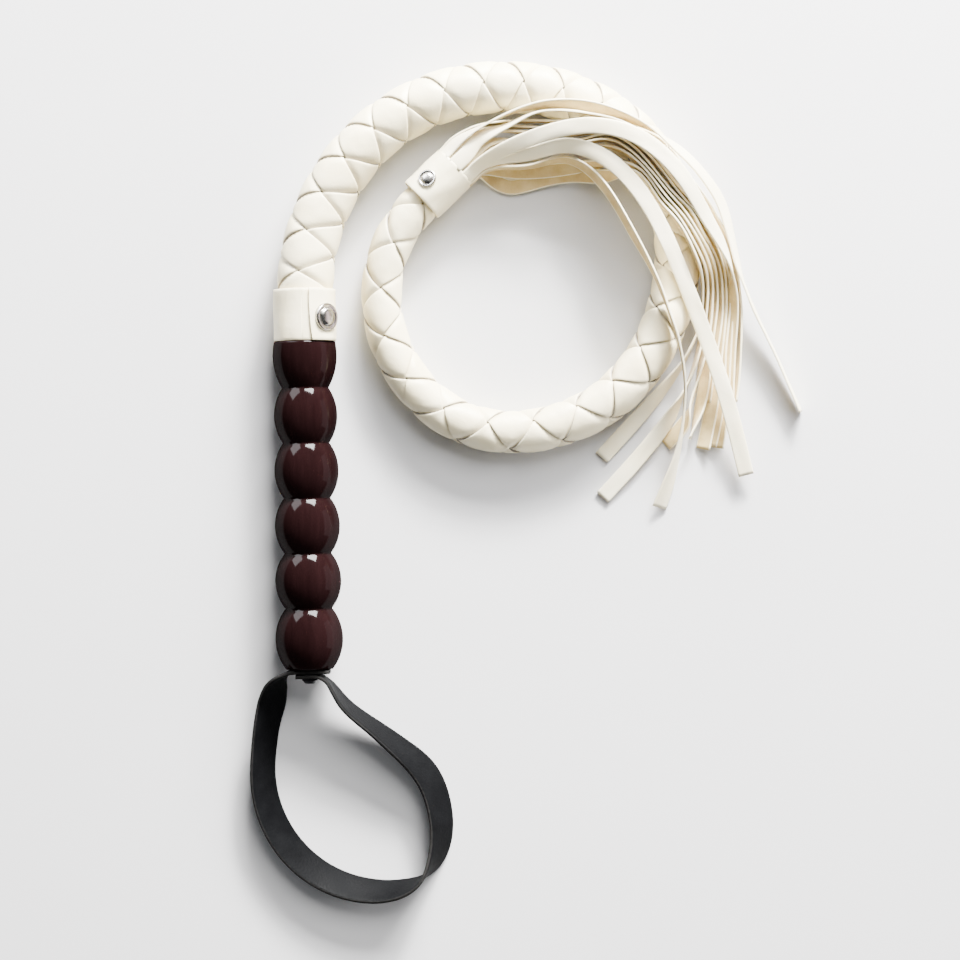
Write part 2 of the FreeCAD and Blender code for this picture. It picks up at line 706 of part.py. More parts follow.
def make_strand(ring, place, listed):
    lift = THONG_START_RADIUS / STRANDS_LIE_OVER
    rows = [(x, y, low * lift, roll) for x, y, low, roll in from_shoulder(listed)]
    tip, ahead, inner_side = frame_at_end()
    mouth = tip + ahead * (TASSEL_COLLAR_LENGTH - TASSEL_COLLAR_COVER + STRAND_GAP)
    turn = math.radians(place)
    start = mouth + inner_side * (ring * math.cos(turn)) + UP * (ring * math.sin(turn))
    roll = nearest_half_turn(place + 90, rows[0][3])
    low = start.z - STRAND_WIDTH / 2 * abs(math.sin(math.radians(roll)))
    lead = start + ahead * STRAND_LEAD
    near = start + ahead * (STRAND_LEAD / 3)
    lead_low = low + LEAD_DROP * (rows[0][2] - low)
    all_rows = [(start.x, start.y, low, roll), (near.x, near.y, low, roll),
                (lead.x, lead.y, lead_low, roll + LEAD_ROLL * (rows[0][3] - roll))] + rows
    rolls = [row[3] for row in all_rows]

    def side_at(walked, place, tangent):
        angle = math.radians(level(walked, rolls, place))
        side = tangent.cross(UP).normalize()
        return side * math.cos(angle) + side.cross(tangent) * math.sin(angle)

    return band(all_rows, side_at, STRAND_WIDTH, STRAND_THICKNESS, STRAND_SPACING)


# ---------------------------------------------------------------- wrist strap
def make_strap():
    """One strap, holed at both ends, bent round into a loop that leans over."""
    lean_x = [row[3] for row in STRAP_ROUTE]
    lean_y = [row[4] for row in STRAP_ROUTE]

    def side_at(walked, place, tangent):
        x = level(walked, lean_x, place)
        y = level(walked, lean_y, place)
        return Vector(x, y, math.sqrt(STRAP_WIDTH ** 2 - x * x - y * y))

    strap, length = band(STRAP_ROUTE, side_at, STRAP_WIDTH, STRAP_THICKNESS, STRAP_SPACING)
    hole = Part.makeCylinder(SCREW_RADIUS + STRAP_HOLE_GAP, 2 * (STRAP_THICKNESS + STRAP_GAP + OVERRUN),
                             Vector(HANDLE_X, BUTT_Y + OVERRUN, HANDLE_Z), ALONG_HANDLE * -1)
    return strap.cut(hole), length


def make_washer():
    return pipe(Vector(HANDLE_X, WASHER_Y, HANDLE_Z), ALONG_HANDLE * -1, WASHER_THICKNESS, WASHER_RADIUS,
                SCREW_RADIUS + PILOT_GAP)


def make_screw():
    seat = Vector(HANDLE_X, WASHER_Y - WASHER_THICKNESS, HANDLE_Z)
    shank = Part.makeCylinder(SCREW_RADIUS, SCREW_LENGTH, seat, ALONG_HANDLE)
    head = Part.makeCone(SCREW_HEAD_RADIUS, SCREW_HEAD_RADIUS * SCREW_HEAD_TAPER, SCREW_HEAD_HEIGHT,
                         seat, ALONG_HANDLE * -1)
    return shank.fuse(head)


# ---------------------------------------------------------------- build
for corner in corners(THONG_ROUTE):
    print("thong corner: radius %.1f, turn %.1f degrees" % (corner[3], math.degrees(corner[4])))

post_foot = SPIGOT_RADIUS - POST_IN_WOOD
collar_cap, collar_post = make_rivet(collar_rivet_axis(), ALONG_HANDLE, COLLAR_BORE + 2 * SHEET,
                                     COLLAR_RIVET_RADIUS, COLLAR_RIVET_HEIGHT, post_foot)
handle = drill(make_handle(), collar_rivet_axis(), post_foot - POST_GAP, THONG_START_RADIUS)
save("handle_grip", handle)
save("handle_collar", make_handle_collar())
save("collar_rivet_cap", collar_cap)
save("collar_rivet_post", collar_post)

thong_core, thong_braid, thong_length = make_thong()
save("thong_core", thong_core)
save("thong_braid", thong_braid)
shares = [(i + 0.5) / 100 for i in range(100)]
radii = [thong_radius(share * thong_length) for share in shares]
section = sum(math.pi * (r * r - (r - BRAID_WALL) ** 2) for r in radii) / len(radii)
print("thong length %.0f, mean section x length %.0f" % (thong_length, section * thong_length))

save("tassel_collar", make_tassel_collar())
tassel_cap, tassel_post = make_rivet(tassel_rivet_axis(), frame_at_end()[1], TASSEL_OUTER,
                                     TASSEL_RIVET_RADIUS, TASSEL_RIVET_HEIGHT,
                                     THONG_END_RADIUS - BRAID_WALL - POST_IN_CORE)
save("tassel_rivet_cap", tassel_cap)
save("tassel_rivet_post", tassel_post)

for number, (ring, place, listed) in enumerate(STRANDS, start=1):
    strand, strand_length = make_strand(ring, place, listed)
    save("tassel_strand_%02d" % number, strand)
    print("  length %.0f" % strand_length)

strap, strap_length = make_strap()
save("wrist_strap", strap)
print("  length %.0f" % strap_length)
save("strap_washer", make_washer())
save("butt_screw", make_screw())
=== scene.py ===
import math

import bpy
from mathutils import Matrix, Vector, noise


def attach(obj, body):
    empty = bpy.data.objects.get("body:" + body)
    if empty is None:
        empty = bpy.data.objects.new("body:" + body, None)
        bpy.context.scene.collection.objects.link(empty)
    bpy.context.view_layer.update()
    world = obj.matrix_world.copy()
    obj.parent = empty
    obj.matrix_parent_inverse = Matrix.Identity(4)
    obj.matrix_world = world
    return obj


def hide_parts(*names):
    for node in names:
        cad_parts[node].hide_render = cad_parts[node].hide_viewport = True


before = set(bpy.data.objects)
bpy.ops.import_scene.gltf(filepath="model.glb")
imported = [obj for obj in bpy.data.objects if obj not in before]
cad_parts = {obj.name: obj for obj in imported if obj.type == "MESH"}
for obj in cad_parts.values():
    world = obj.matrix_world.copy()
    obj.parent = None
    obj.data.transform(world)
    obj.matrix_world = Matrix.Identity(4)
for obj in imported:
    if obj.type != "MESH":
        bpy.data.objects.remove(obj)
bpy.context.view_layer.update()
scene = bpy.context.scene
MM = 0.001
UP = Vector((0, 0, 1))

# ---------------------------------------------------------------- camera
CAMERA_PLACE = (0.05965, 0.05127, 1.15)     # in metres; it looks straight down
CAMERA_TURN = -0.933                        # degrees
FOCAL_LENGTH = 95.8
cam_data = bpy.data.cameras.new("camera")
cam_data.sensor_width = 36
cam_data.lens = FOCAL_LENGTH
cam_data.clip_start = 0.05
camera = bpy.data.objects.new("camera", cam_data)
camera.location = CAMERA_PLACE
camera.rotation_euler = (0, 0, math.radians(CAMERA_TURN))
scene.collection.objects.link(camera)
scene.camera = camera

# ---------------------------------------------------------------- sizes, as in part.py, in mm
HANDLE_X = -17.3
HANDLE_Z = 15.0
BUTT_Y = -31.4
SHOULDER_Y = 113.8
GROOVE_RADIUS = 10.3
BUTT_RADIUS = 10.4
SHOULDER_RADIUS = 13.6
BULB_RADII = [15.0, 14.6, 14.4, 14.2, 14.0, 14.1]
BUTT_BULB_LENGTH = 26.9
TOP_BULB_LENGTH = 20.4
TOP_BULB_MIDDLE = 0.58
SHEET = 0.9
COLLAR_BORE = 12.6
HANDLE_COLLAR_LENGTH = 23.2
TASSEL_COLLAR_LENGTH = 21.0
TASSEL_COLLAR_COVER = 15.0
TASSEL_BORE = 8.9
TASSEL_OUTER = 10.8
COLLAR_RIVET_RADIUS = 6.2
COLLAR_RIVET_HEIGHT = 2.4
COLLAR_RIVET_PLACE = 10.4
COLLAR_RIVET_TURN = 47.0
TASSEL_RIVET_RADIUS = 4.1
TASSEL_RIVET_HEIGHT = 1.8
TASSEL_RIVET_PLACE = 8.0
TASSEL_RIVET_TURN = 23.0
STRAP_WIDTH = 15.0
STRAP_THICKNESS = 1.7
STRAND_WIDTH = 7.0
STRAND_THICKNESS = 0.9
STRAND_LEAD = 6.0
STRAND_GAP = 0.5
LEAD_DROP = 0.2
LEAD_ROLL = 0.15
STRANDS_LIE_OVER = 12.4
FIT_GAP = 0.2
OUTER_RING = TASSEL_OUTER - STRAND_THICKNESS / 2 - 0.05
INNER_RING = OUTER_RING - 2 * STRAND_THICKNESS
STRAP_GAP = 0.3
LAYER_1 = -STRAP_GAP - STRAP_THICKNESS / 2
LAYER_2 = LAYER_1 - STRAP_THICKNESS - STRAP_GAP
BUTT_LOW = HANDLE_Z - STRAP_WIDTH / 2
THONG_START_RADIUS = 12.4
THONG_END_RADIUS = 8.7
TAPER_LENGTH = 480.0



def from_shoulder(rows):
    """Rows whose x and y are counted from the middle of the handle's shoulder."""
    return [(HANDLE_X + x, SHOULDER_Y + y, *rest) for x, y, *rest in rows]


def from_butt(rows):
    """Rows whose x and y are counted from the middle of the handle's butt."""
    return [(HANDLE_X + x, BUTT_Y + y, *rest) for x, y, *rest in rows]


THONG_ROUTE = from_shoulder([
    (0, FIT_GAP, HANDLE_Z),
    (0, 27.7, HANDLE_Z),
    (4.8, 51.2, 12.8),
    (15.3, 73.2, 12.1),
    (31.3, 92.2, 11.9),
    (53.3, 106.2, 11.6),
    (78.3, 112.7, 11.4),
    (104.3, 112.2, 11.2),
    (129.3, 104.2, 11.0),
    (150.3, 88.7, 10.8),
    (163.7, 66.2, 10.6),
    (168, 40.2, 10.4),
    (164.1, 14.2, 10.3),
    (153.3, -9.8, 10.1),
    (134.8, -29.3, 9.9),
    (111.3, -39.8, 9.6),
    (86.3, -42.3, 9.4),
    (63.3, -34.8, 9.2),
    (45.3, -17.8, 9.1),
    (34.3, 6.7, 9.1),
    (34.3, 32.2, 9.5),
    (44.8, 55.2, 11.1),
    (63.8, 72.7, 11.1),
])

STRAP_ROUTE = from_butt([
    (9, LAYER_1, BUTT_LOW, 0, 0),
    (4, LAYER_1, BUTT_LOW, 0, 0),
    (0, LAYER_1, BUTT_LOW, 0, 0),
    (-4, LAYER_1, BUTT_LOW, 0, 0),
    (-8.5, LAYER_1 - 0.2, BUTT_LOW, -0.5, 0),
    (-12.7, -3.6, 7.2, -5, -1),
    (-15.7, -8.6, 6.4, -10, -2),
    (-17.7, -15.6, 4.8, -12, -3),
    (-19.9, -24.6, 3.2, -11, -3.5),
    (-21.5, -34.6, 1.6, -10, -4.5),
    (-22.4, -46.6, 1.0, -9, -6),
    (-20.7, -60.6, 0.7, -8.6, -6.5),
    (-13.7, -76.6, 0.7, -8.6, -6.5),
    (2.3, -92.6, 0.7, -8.6, -6.5),
    (22.3, -100.1, 0.7, -8.6, -6.5),
    (38.3, -99.6, 0.7, -8.6, -6.5),
    (49.3, -94.1, 0.7, -8.6, -6.5),
    (56.4, -80.6, 0.7, -8.6, -6.5),
    (56.3, -63.6, 0.7, -8.6, -6.5),
    (51.3, -49.6, 0.8, -8.6, -6),
    (39.3, -36.6, 2.0, -6.5, -4.5),
    (25.3, -25.1, 3.4, -4, -3),
    (14.3, -15.1, 5.5, -2.5, -2),
    (9.8, -8.4, 6.9, -1, -1),
    (7, -5, 7.3, 0, 0),
    (3.6, LAYER_2 - 0.1, BUTT_LOW, 0, 0),
    (0, LAYER_2, BUTT_LOW, 0, 0),
    (-6, LAYER_2, BUTT_LOW, 0, 0),
])

STRANDS = [
    (OUTER_RING, 135, [
        (79.3, 93.2, 18, 75),
        (97.3, 100.7, 19, 90),
        (127.8, 100.7, 22.5, 112),
        (148.8, 93.7, 22, 90),
        (168.8, 80.7, 16.5, 50),
        (185.8, 59.7, 10.5, 50),
        (192.8, 34.7, 7.5, 65),
        (198.8, 15.7, 5.5, 88),
        (208.8, -5.8, 2.5, 92),
        (221.3, -34.3, 0.5, 90),
    ]),
    (OUTER_RING, 90, [
        (77.3, 86.7, 20.3, 15),
        (90.3, 93.2, 19.3, 65),
        (102.8, 98.7, 19, 80),
        (125.8, 98.2, 21.5, 88),
        (149.3, 90.2, 22, 90),
        (167.3, 74.2, 19.5, 88),
        (186.3, 48.7, 6, 88),
        (191.3, 34.2, 3, 88),
        (193.8, 17.7, 1.5, 88),
        (193.8, -3.8, 1, 88),
        (190.8, -29.3, 0.5, 88),
    ]),
    (OUTER_RING, 45, [
        (88.3, 82.2, 21.3, -32),
        (105.8, 88.7, 25.8, -18),
        (127.8, 92.2, 29.5, -5),
        (149.3, 86.2, 32, 5),
        (166.8, 70.2, 31, 15),
        (179.3, 50.7, 22, 35),
        (189.1, 33.2, 12, 74),
        (191.4, 14.7, 4.5, 88),
        (189.8, -8.3, 1, 90),
        (188.8, -28.3, 0.5, 88),
    ]),
    (INNER_RING, 30, [
        (101.3, 81.4, 18.5, -42),
        (116.8, 84.2, 22.5, -25),
        (131.8, 79.7, 25.5, -15),
        (149.3, 63.2, 26.5, 0),
        (161.3, 41.2, 25.5, 8),
        (170.8, 18.2, 20.5, 10),
        (180.3, -6.3, 13.5, 8),
        (188.3, -30.8, 10, 4),
        (196.3, -62.3, 5, 0),
    ]),
    (OUTER_RING, 0, [
        (101.3, 76.8, 8.2, -84),
        (116.8, 79.2, 11.5, -74),
        (132.3, 68.2, 17.5, -65),
        (144.8, 47.2, 21.5, -70),
        (155.3, 26.7, 21.5, -80),
        (162.8, 6.7, 21, -88),
        (167.8, -13.3, 15, -90),
        (168.3, -32.8, 8.5, -85),
        (165.3, -52.8, 3, -65),
        (157.3, -76.3, 0.5, -25),
    ]),
    (OUTER_RING, 315, [
        (88.3, 70.2, 1.5, 10),
        (102.8, 70.7, 2, 8),
        (123.8, 73.2, 5, 20),
        (135.3, 72.2, 9, 40),
        (147.8, 72.7, 17, 88),
        (157.8, 59.7, 19.5, 90),
        (163.8, 52.2, 21.5, 90),
        (169.8, 42.7, 21.5, 90),
        (174.3, 32.7, 19.5, 90),
        (177.3, 20.2, 10.5, 90),
        (172.8, -3.8, 1.5, 85),
        (160.3, -22.3, 1.5, 50),
        (147.8, -36.3, 1.5, 18),
        (131.8, -53.3, 1, 0),
    ]),
    (INNER_RING, 312, [
        (85.8, 76.7, 3, 35),
        (102.8, 75.2, 3.5, 28),
        (123.8, 76.7, 6.5, 45),
        (136.8, 77.2, 13, 80),
        (148.8, 73.7, 18.5, 90),
        (159.3, 60.2, 20.5, 90),
        (165.3, 52.7, 21.5, 90),
        (171.3, 42.7, 21, 90),
        (176.3, 33.2, 17.5, 90),
        (179.3, 20.2, 5.5, 90),
        (176.3, -3.8, 1, 90),
        (168.8, -24.8, 1, 80),
        (161.8, -36.8, 2, 35),
        (151.3, -50.3, 2.5, 8),
        (131.8, -71.3, 1, 0),
    ]),
    (OUTER_RING, 270, [
        (83.8, 85.2, 1.5, 3),
        (93.8, 85.2, 2.5, 40),
        (102.8, 84.2, 5.5, 75),
        (122.8, 82.7, 12, 90),
        (133.1, 84.5, 15, 90),
        (148.8, 76.2, 20, 90),
        (160.8, 60.7, 21.5, 90),
        (166.8, 53.2, 21.5, 90),
        (173.3, 43.2, 20, 90),
        (178.3, 33.2, 14.5, 90),
        (181.3, 19.7, 3.5, 90),
        (178.3, -5.8, 1, 90),
        (172.3, -29.3, 1, 80),
        (167.8, -40.3, 0.5, 150),
        (160.3, -47.8, 0.5, 177),
    ]),
    (INNER_RING, 82, [
        (82.3, 86.7, 15.5, 50),
        (102.8, 86.2, 12.5, 88),
        (122.8, 85.2, 16, 90),
        (134.8, 86.7, 18.5, 90),
        (149.8, 77.2, 21, 90),
        (162.3, 61.7, 22, 90),
        (168.8, 53.7, 21.5, 90),
        (174.8, 43.2, 19, 90),
        (180.3, 33.7, 11.5, 90),
        (183.3, 19.7, 2, 90),
        (180.3, -5.8, 1, 90),
        (177.3, -26.3, 1, 88),
        (171.3, -45.8, 1, 80),
    ]),
    (OUTER_RING, 225, [
        (82.3, 88.2, 3, 112),
        (102.8, 89.2, 8.5, 90),
        (122.8, 87.2, 14.5, 90),
        (135.8, 88.7, 19.5, 90),
        (151.3, 78.2, 21.5, 90),
        (163.8, 62.2, 22, 90),
        (170.8, 54.2, 21, 90),
        (176.8, 43.7, 16.5, 90),
        (182.3, 33.7, 8.5, 90),
        (185.3, 19.2, 1.5, 90),
        (182.3, -5.8, 1, 90),
        (178.3, -29.3, 0.5, 88),
    ]),
    (INNER_RING, 131, [
        (102.8, 91.2, 12, 90),
        (123.8, 89.7, 16.5, 90),
        (136.8, 89.7, 20.5, 90),
        (152.8, 79.2, 22.5, 90),
        (165.8, 63.2, 22, 90),
        (172.3, 54.7, 20, 90),
        (178.8, 44.2, 13.5, 90),
        (184.3, 33.7, 6, 90),
        (186.8, 19.2, 1.5, 90),
        (184.3, -5.8, 1, 90),
        (181.8, -28.3, 1, 88),
        (177.3, -50.3, 0.5, 85),
    ]),
    (INNER_RING, 186, [
        (102.8, 93.7, 11, 90),
        (123.8, 92.2, 17.5, 90),
        (137.8, 91.2, 21.5, 90),
        (153.8, 80.2, 22.5, 90),
        (167.3, 63.7, 21.5, 90),
        (174.3, 55.7, 18.5, 90),
        (180.8, 44.7, 10.5, 90),
        (185.5, 34.1, 4.5, 90),
        (188.3, 18.7, 1, 90),
        (185.8, -5.8, 1, 90),
        (184.3, -28.3, 1, 88),
        (180.3, -48.8, 0.5, 85),
    ]),
    (OUTER_RING, 180, [
        (102.8, 96.2, 12, 90),
        (124.3, 94.7, 19.5, 90),
        (138.3, 92.7, 22, 90),
        (155.3, 81.7, 22.5, 90),
        (168.8, 64.7, 21, 90),
        (175.8, 56.2, 16.5, 90),
        (182.8, 45.2, 8.5, 90),
        (187.4, 34.4, 3.5, 90),
        (189.8, 18.7, 1, 90),
        (187.8, -6.3, 1, 90),
        (186.3, -28.3, 1, 88),
        (183.3, -49.8, 0.5, 85),
    ]),
]

# ---------------------------------------------------------------- curves
def spline_bends(walked, values):
    """Second derivatives of a smooth curve through the values, straight at both ends."""
    count = len(values)
    upper = [0.0] * count
    right = [0.0] * count
    for i in range(1, count - 1):
        before = walked[i] - walked[i - 1]
        after = walked[i + 1] - walked[i]
        change = (values[i + 1] - values[i]) / after - (values[i] - values[i - 1]) / before
        pivot = 2 * (before + after) - before * upper[i - 1]
        upper[i] = after / pivot
        right[i] = (6 * change - before * right[i - 1]) / pivot
    bends = [0.0] * count
    for i in range(count - 2, 0, -1):
        bends[i] = right[i] - upper[i] * bends[i + 1]
    return bends


def stretch(walked, place):
    """Which stretch of a walk the place is on, how long that is, and the share of it gone."""
    i = 1
    while i < len(walked) - 1 and place > walked[i]:
        i += 1
    run = walked[i] - walked[i - 1]
    return i, run, min(1.0, max(0.0, (place - walked[i - 1]) / run))


def smooth(walked, values, bends, place):
    """Value of the smooth curve that has these bends."""
    i, run, share = stretch(walked, place)
    left = 1 - share
    bow = (left ** 3 - left) * bends[i - 1] + (share ** 3 - share) * bends[i]
    return left * values[i - 1] + share * values[i] + bow * run * run / 6


def level(walked, values, place):
    """Value eased between the listed ones so that it never goes beyond its neighbours."""
    slopes = [(b - a) / (q - p) for a, b, p, q in zip(values, values[1:], walked, walked[1:])]
    i, run, share = stretch(walked, place)

    def slope(at):
        if at == 0 or at == len(values) - 1:
            return slopes[0] if at == 0 else slopes[-1]
        before, after = slopes[at - 1], slopes[at]
        return 0.0 if before * after <= 0 else 2 * before * after / (before + after)

    rise = values[i] - values[i - 1]
    cubic = share * share * (3 - 2 * share) * rise
    ease = share * (1 - share) ** 2 * slope(i - 1) - share * share * (1 - share) * slope(i)
    return values[i - 1] + cubic + ease * run


class Line:
    """A sampled centreline that can be walked by distance."""

    def __init__(self, points):
        self.points = points
        self.walked = [0.0]
        for a, b in zip(points, points[1:]):
            self.walked.append(self.walked[-1] + (b - a).length)
        self.length = self.walked[-1]
        self.tangents = []
        for i in range(len(points)):
            low, high = max(0, i - 3), min(len(points) - 1, i + 3)
            self.tangents.append((points[high] - points[low]).normalized())
        self.last = 0           # where the last walk ended, to start from

    def at(self, place):
        """Centre there, direction ahead, to its right and upwards."""
        i = self.last
        if self.walked[i] > place:
            i = 0
        while i < len(self.points) - 2 and self.walked[i + 1] < place:
            i += 1
        self.last = i
        run = self.walked[i + 1] - self.walked[i]
        share = (place - self.walked[i]) / run
        centre = self.points[i].lerp(self.points[i + 1], share)
        ahead = self.tangents[i].lerp(self.tangents[i + 1], min(1.0, max(0.0, share))).normalized()
        side = ahead.cross(UP).normalized()
        return centre, ahead, side, side.cross(ahead)


# ---------------------------------------------------------------- materials
def new_material(name):
    """The material, its tree and main shader, and the place on the object that textures go by."""
    material = bpy.data.materials.new(name)
    material.use_nodes = True
    tree = material.node_tree
    place = tree.nodes.new("ShaderNodeTexCoord").outputs["Object"]
    return material, tree, tree.nodes["Principled BSDF"], place


def feed(tree, node, values):
    """Sets inputs of a node, to plain values or from the outputs of other nodes."""
    for key, value in values.items():
        if isinstance(value, bpy.types.NodeSocket):
            tree.links.new(value, node.inputs[key])
        else:
            node.inputs[key].default_value = value


def add(tree, kind, values, **settings):
    node = tree.nodes.new("ShaderNode" + kind)
    for key, value in settings.items():
        setattr(node, key, value)
    feed(tree, node, values)
    return node


def noisy(tree, vector, scale, detail, roughness=0.5, distortion=0.0):
    node = add(tree, "TexNoise", {"Vector": vector, "Scale": scale, "Detail": detail,
                                  "Roughness": roughness, "Distortion": distortion})
    return node.outputs["Fac"]


def cells(tree, vector, scale):
    return add(tree, "TexVoronoi", {"Vector": vector, "Scale": scale}).outputs["Distance"]


def bump(tree, height, strength, distance, below=None):
    """Normal of a bump map, on top of the one below."""
    node = add(tree, "Bump", {"Height": height, "Strength": strength, "Distance": distance})
    if below:
        feed(tree, node, {"Normal": below})
    return node.outputs["Normal"]


def ramp(tree, source, stops):
    """Colour between stops of (value, colour)."""
    node = tree.nodes.new("ShaderNodeValToRGB")
    while len(node.color_ramp.elements) < len(stops):
        node.color_ramp.elements.new(0.5)
    for element, (place, colour) in zip(node.color_ramp.elements, stops):
        element.position = place
        element.color = (*colour, 1)
    feed(tree, node, {"Fac": source})
    return node.outputs["Color"]


def value_ramp(tree, source, low, high):
    """Value between two pairs of (value in, value out)."""
    node = add(tree, "MapRange", {"Value": source, "From Min": low[0], "From Max": high[0],
                                  "To Min": low[1], "To Max": high[1]})
    return node.outputs["Result"]


def coated_skin(name, light, dark, roughness, grain):
    """Thin coated leather: faint mottling, fine pores and soft creases."""
    material, tree, shader, place = new_material(name)
    mottle = noisy(tree, place, 55.0, 5.0, 0.6)
    creases = noisy(tree, place, 160.0, 6.0, distortion=1.2)
    relief = bump(tree, cells(tree, place, 1500.0), 0.25 * grain, 0.00012)
    relief = bump(tree, creases, 0.35 * grain, 0.0004, relief)
    relief = bump(tree, noisy(tree, place, 900.0, 3.0), 0.2 * grain, 0.00008, relief)
    feed(tree, shader, {
        "Base Color": ramp(tree, mottle, [(0.3, dark), (0.62, light)]),
        "Roughness": value_ramp(tree, creases, (0.3, roughness - 0.07), (0.7, roughness + 0.08)),
        "Normal": relief,
        "Specular IOR Level": 0.45,
    })
    return material


def split_skin(name, low, high):
    """Underside or cut edge of the strips: short nap. For the cut edge the colours given are darkened
    as painted shade.
    """
    material, tree, shader, place = new_material(name)
    cloud = noisy(tree, place, 120.0, 6.0, 0.65)
    nap = noisy(tree, place, 2600.0, 4.0, 0.7)
    feed(tree, shader, {
        "Base Color": ramp(tree, cloud, [(0.28, low), (0.7, high)]),
        "Roughness": value_ramp(tree, nap, (0.3, 0.78), (0.7, 0.95)),
        "Normal": bump(tree, nap, 0.5, 0.0002),
        "Sheen Weight": 0.25,
        "Specular IOR Level": 0.25,
    })
    return material


def lacquered_wood():
    """Deep red-brown stain with straight grain along the grip, under clear lacquer."""
    material, tree, shader, place = new_material("lacquered_wood")
    along = add(tree, "Mapping", {"Vector": place, "Scale": (1, 0.06, 1)}).outputs["Vector"]
    grain = noisy(tree, along, 420.0, 7.0, 0.62, 0.4)
    pores = noisy(tree, along, 1500.0, 2.0)
    figure = noisy(tree, along, 70.0, 3.0)
    stain = ramp(tree, grain, [(0.3, (0.0062, 0.0023, 0.0025)), (0.55, (0.0078, 0.0030, 0.0032)),
                               (0.8, (0.0102, 0.0039, 0.0042))])
    shade = ramp(tree, figure, [(0.35, (0.7, 0.66, 0.66)), (0.68, (1.0, 1.0, 1.0))])
    colour = add(tree, "Mix", {"Factor": 1.0, "A": stain, "B": shade}, data_type="RGBA",
                 blend_type="MULTIPLY")
    feed(tree, shader, {
        "Base Color": colour.outputs["Result"],
        "Roughness": value_ramp(tree, pores, (0.3, 0.24), (0.75, 0.4)),
        "Normal": bump(tree, pores, 0.12, 0.0001),
        "Coat Weight": 0.028,
        "Coat Roughness": 0.085,
        "Coat IOR": 2.4,
        "Coat Normal": bump(tree, noisy(tree, place, 90.0, 2.0), 0.08, 0.0006),
        "Specular IOR Level": 0.0,
    })
    return material


def plated_metal(name, colour, low, high):
    """Polished plating with faint clouds and hairline scratches."""
    material, tree, shader, place = new_material(name)
    cloud = noisy(tree, place, 420.0, 5.0)
    scratch = noisy(tree, place, 2600.0, 2.0, distortion=2.0)
    feed(tree, shader, {
        "Base Color": ramp(tree, cloud, [(0.3, tuple(c * 0.82 for c in colour)), (0.65, colour)]),
        "Roughness": value_ramp(tree, cloud, (0.3, low), (0.7, high)),
        "Normal": bump(tree, scratch, 0.06, 0.00005),
        "Metallic": 1.0,
    })
    return material


def strap_leather():
    """Charcoal strap: pebbled grain, and cut edges worn paler."""
    material, tree, shader, place = new_material("strap_leather")
    cloud = noisy(tree, place, 110.0, 6.0, 0.6)
    fibre = noisy(tree, place, 700.0, 4.0)
    parts = add(tree, "SeparateXYZ", {"Vector": place.node.outputs["UV"]})
    # from the middle of the width, 0.5 at the edges, with a ragged border
    away = add(tree, "Math", {0: parts.outputs["Y"], 1: 0.5}, operation="SUBTRACT")
    size = add(tree, "Math", {0: away.outputs["Value"]}, operation="ABSOLUTE")
    rubbed = add(tree, "Math", {0: fibre, 1: 0.05, 2: size.outputs["Value"]},
                 operation="MULTIPLY_ADD")
    wear = value_ramp(tree, rubbed.outputs["Value"], (0.49, 0.0), (0.525, 1.0))
    charcoal = ramp(tree, cloud, [(0.3, (0.0015, 0.0016, 0.0019)), (0.7, (0.0032, 0.0034, 0.0038))])
    colour = add(tree, "Mix", {"Factor": wear, "A": charcoal, "B": (0.017, 0.0165, 0.016, 1)},
                 data_type="RGBA")
    relief = bump(tree, cells(tree, place, 1150.0), 0.45, 0.00018)
    feed(tree, shader, {
        "Base Color": colour.outputs["Result"],
        "Roughness": value_ramp(tree, cloud, (0.3, 0.5), (0.7, 0.66)),
        "Normal": bump(tree, cloud, 0.2, 0.0003, relief),
        "Specular IOR Level": 0.025,
    })
    return material


def paper_floor():
    """Matt pale paper with slow changes of tone."""
    material, tree, shader, place = new_material("pale_floor")
    cloud = noisy(tree, place, 3.0, 3.0)
    feed(tree, shader, {
        "Base Color": ramp(tree, cloud, [(0.3, (0.66, 0.66, 0.672)), (0.7, (0.69, 0.69, 0.70))]),
        "Roughness": 0.75,
        "Specular IOR Level": 0.2,
    })
    return material


def pale_wall():
    """Paper behind the floor that gives its own even light."""
    material, tree, shader, place = new_material("pale_wall")
    cloud = noisy(tree, place, 1.2, 2.0)
    feed(tree, shader, {
        "Emission Color": ramp(tree, cloud, [(0.3, (0.90, 0.90, 0.91)), (0.7, (0.97, 0.97, 0.975))]),
        "Emission Strength": 3.2,
        "Base Color": (0, 0, 0, 1),
        "Roughness": 1.0,
        "Specular IOR Level": 0.0,
    })
    return material


WHITE_BRAID = coated_skin("braid_skin", (0.95, 0.86, 0.60), (0.89, 0.78, 0.49), 0.46, 1.0)
WHITE_SHEET = coated_skin("collar_skin", (0.95, 0.865, 0.62), (0.90, 0.80, 0.52), 0.45, 0.8)
WHITE_STRAND = coated_skin("strand_skin", (0.96, 0.885, 0.66), (0.91, 0.82, 0.56), 0.42, 0.7)
STRIP_BACK = split_skin("strip_back", (0.56, 0.40, 0.17), (0.76, 0.60, 0.29))
# cut edges of the braid strips: partly their real tan core, partly painted shade, greyed and darkened
# for the shadow lines along the strip edges
CUT_EDGE_AND_SHADE = split_skin("cut_edge_and_shade", (0.27, 0.235, 0.19), (0.42, 0.375, 0.31))
WOOD = lacquered_wood()
NICKEL = plated_metal("nickel", (0.40, 0.39, 0.365), 0.2, 0.32)
# steel painted near black: painted shade for the dark gap at the butt where the screw and the washer
# sit
STEEL_PAINTED_SHADE = plated_metal("steel_painted_shade", (0.045, 0.045, 0.048), 0.3, 0.5)
STRAP = strap_leather()


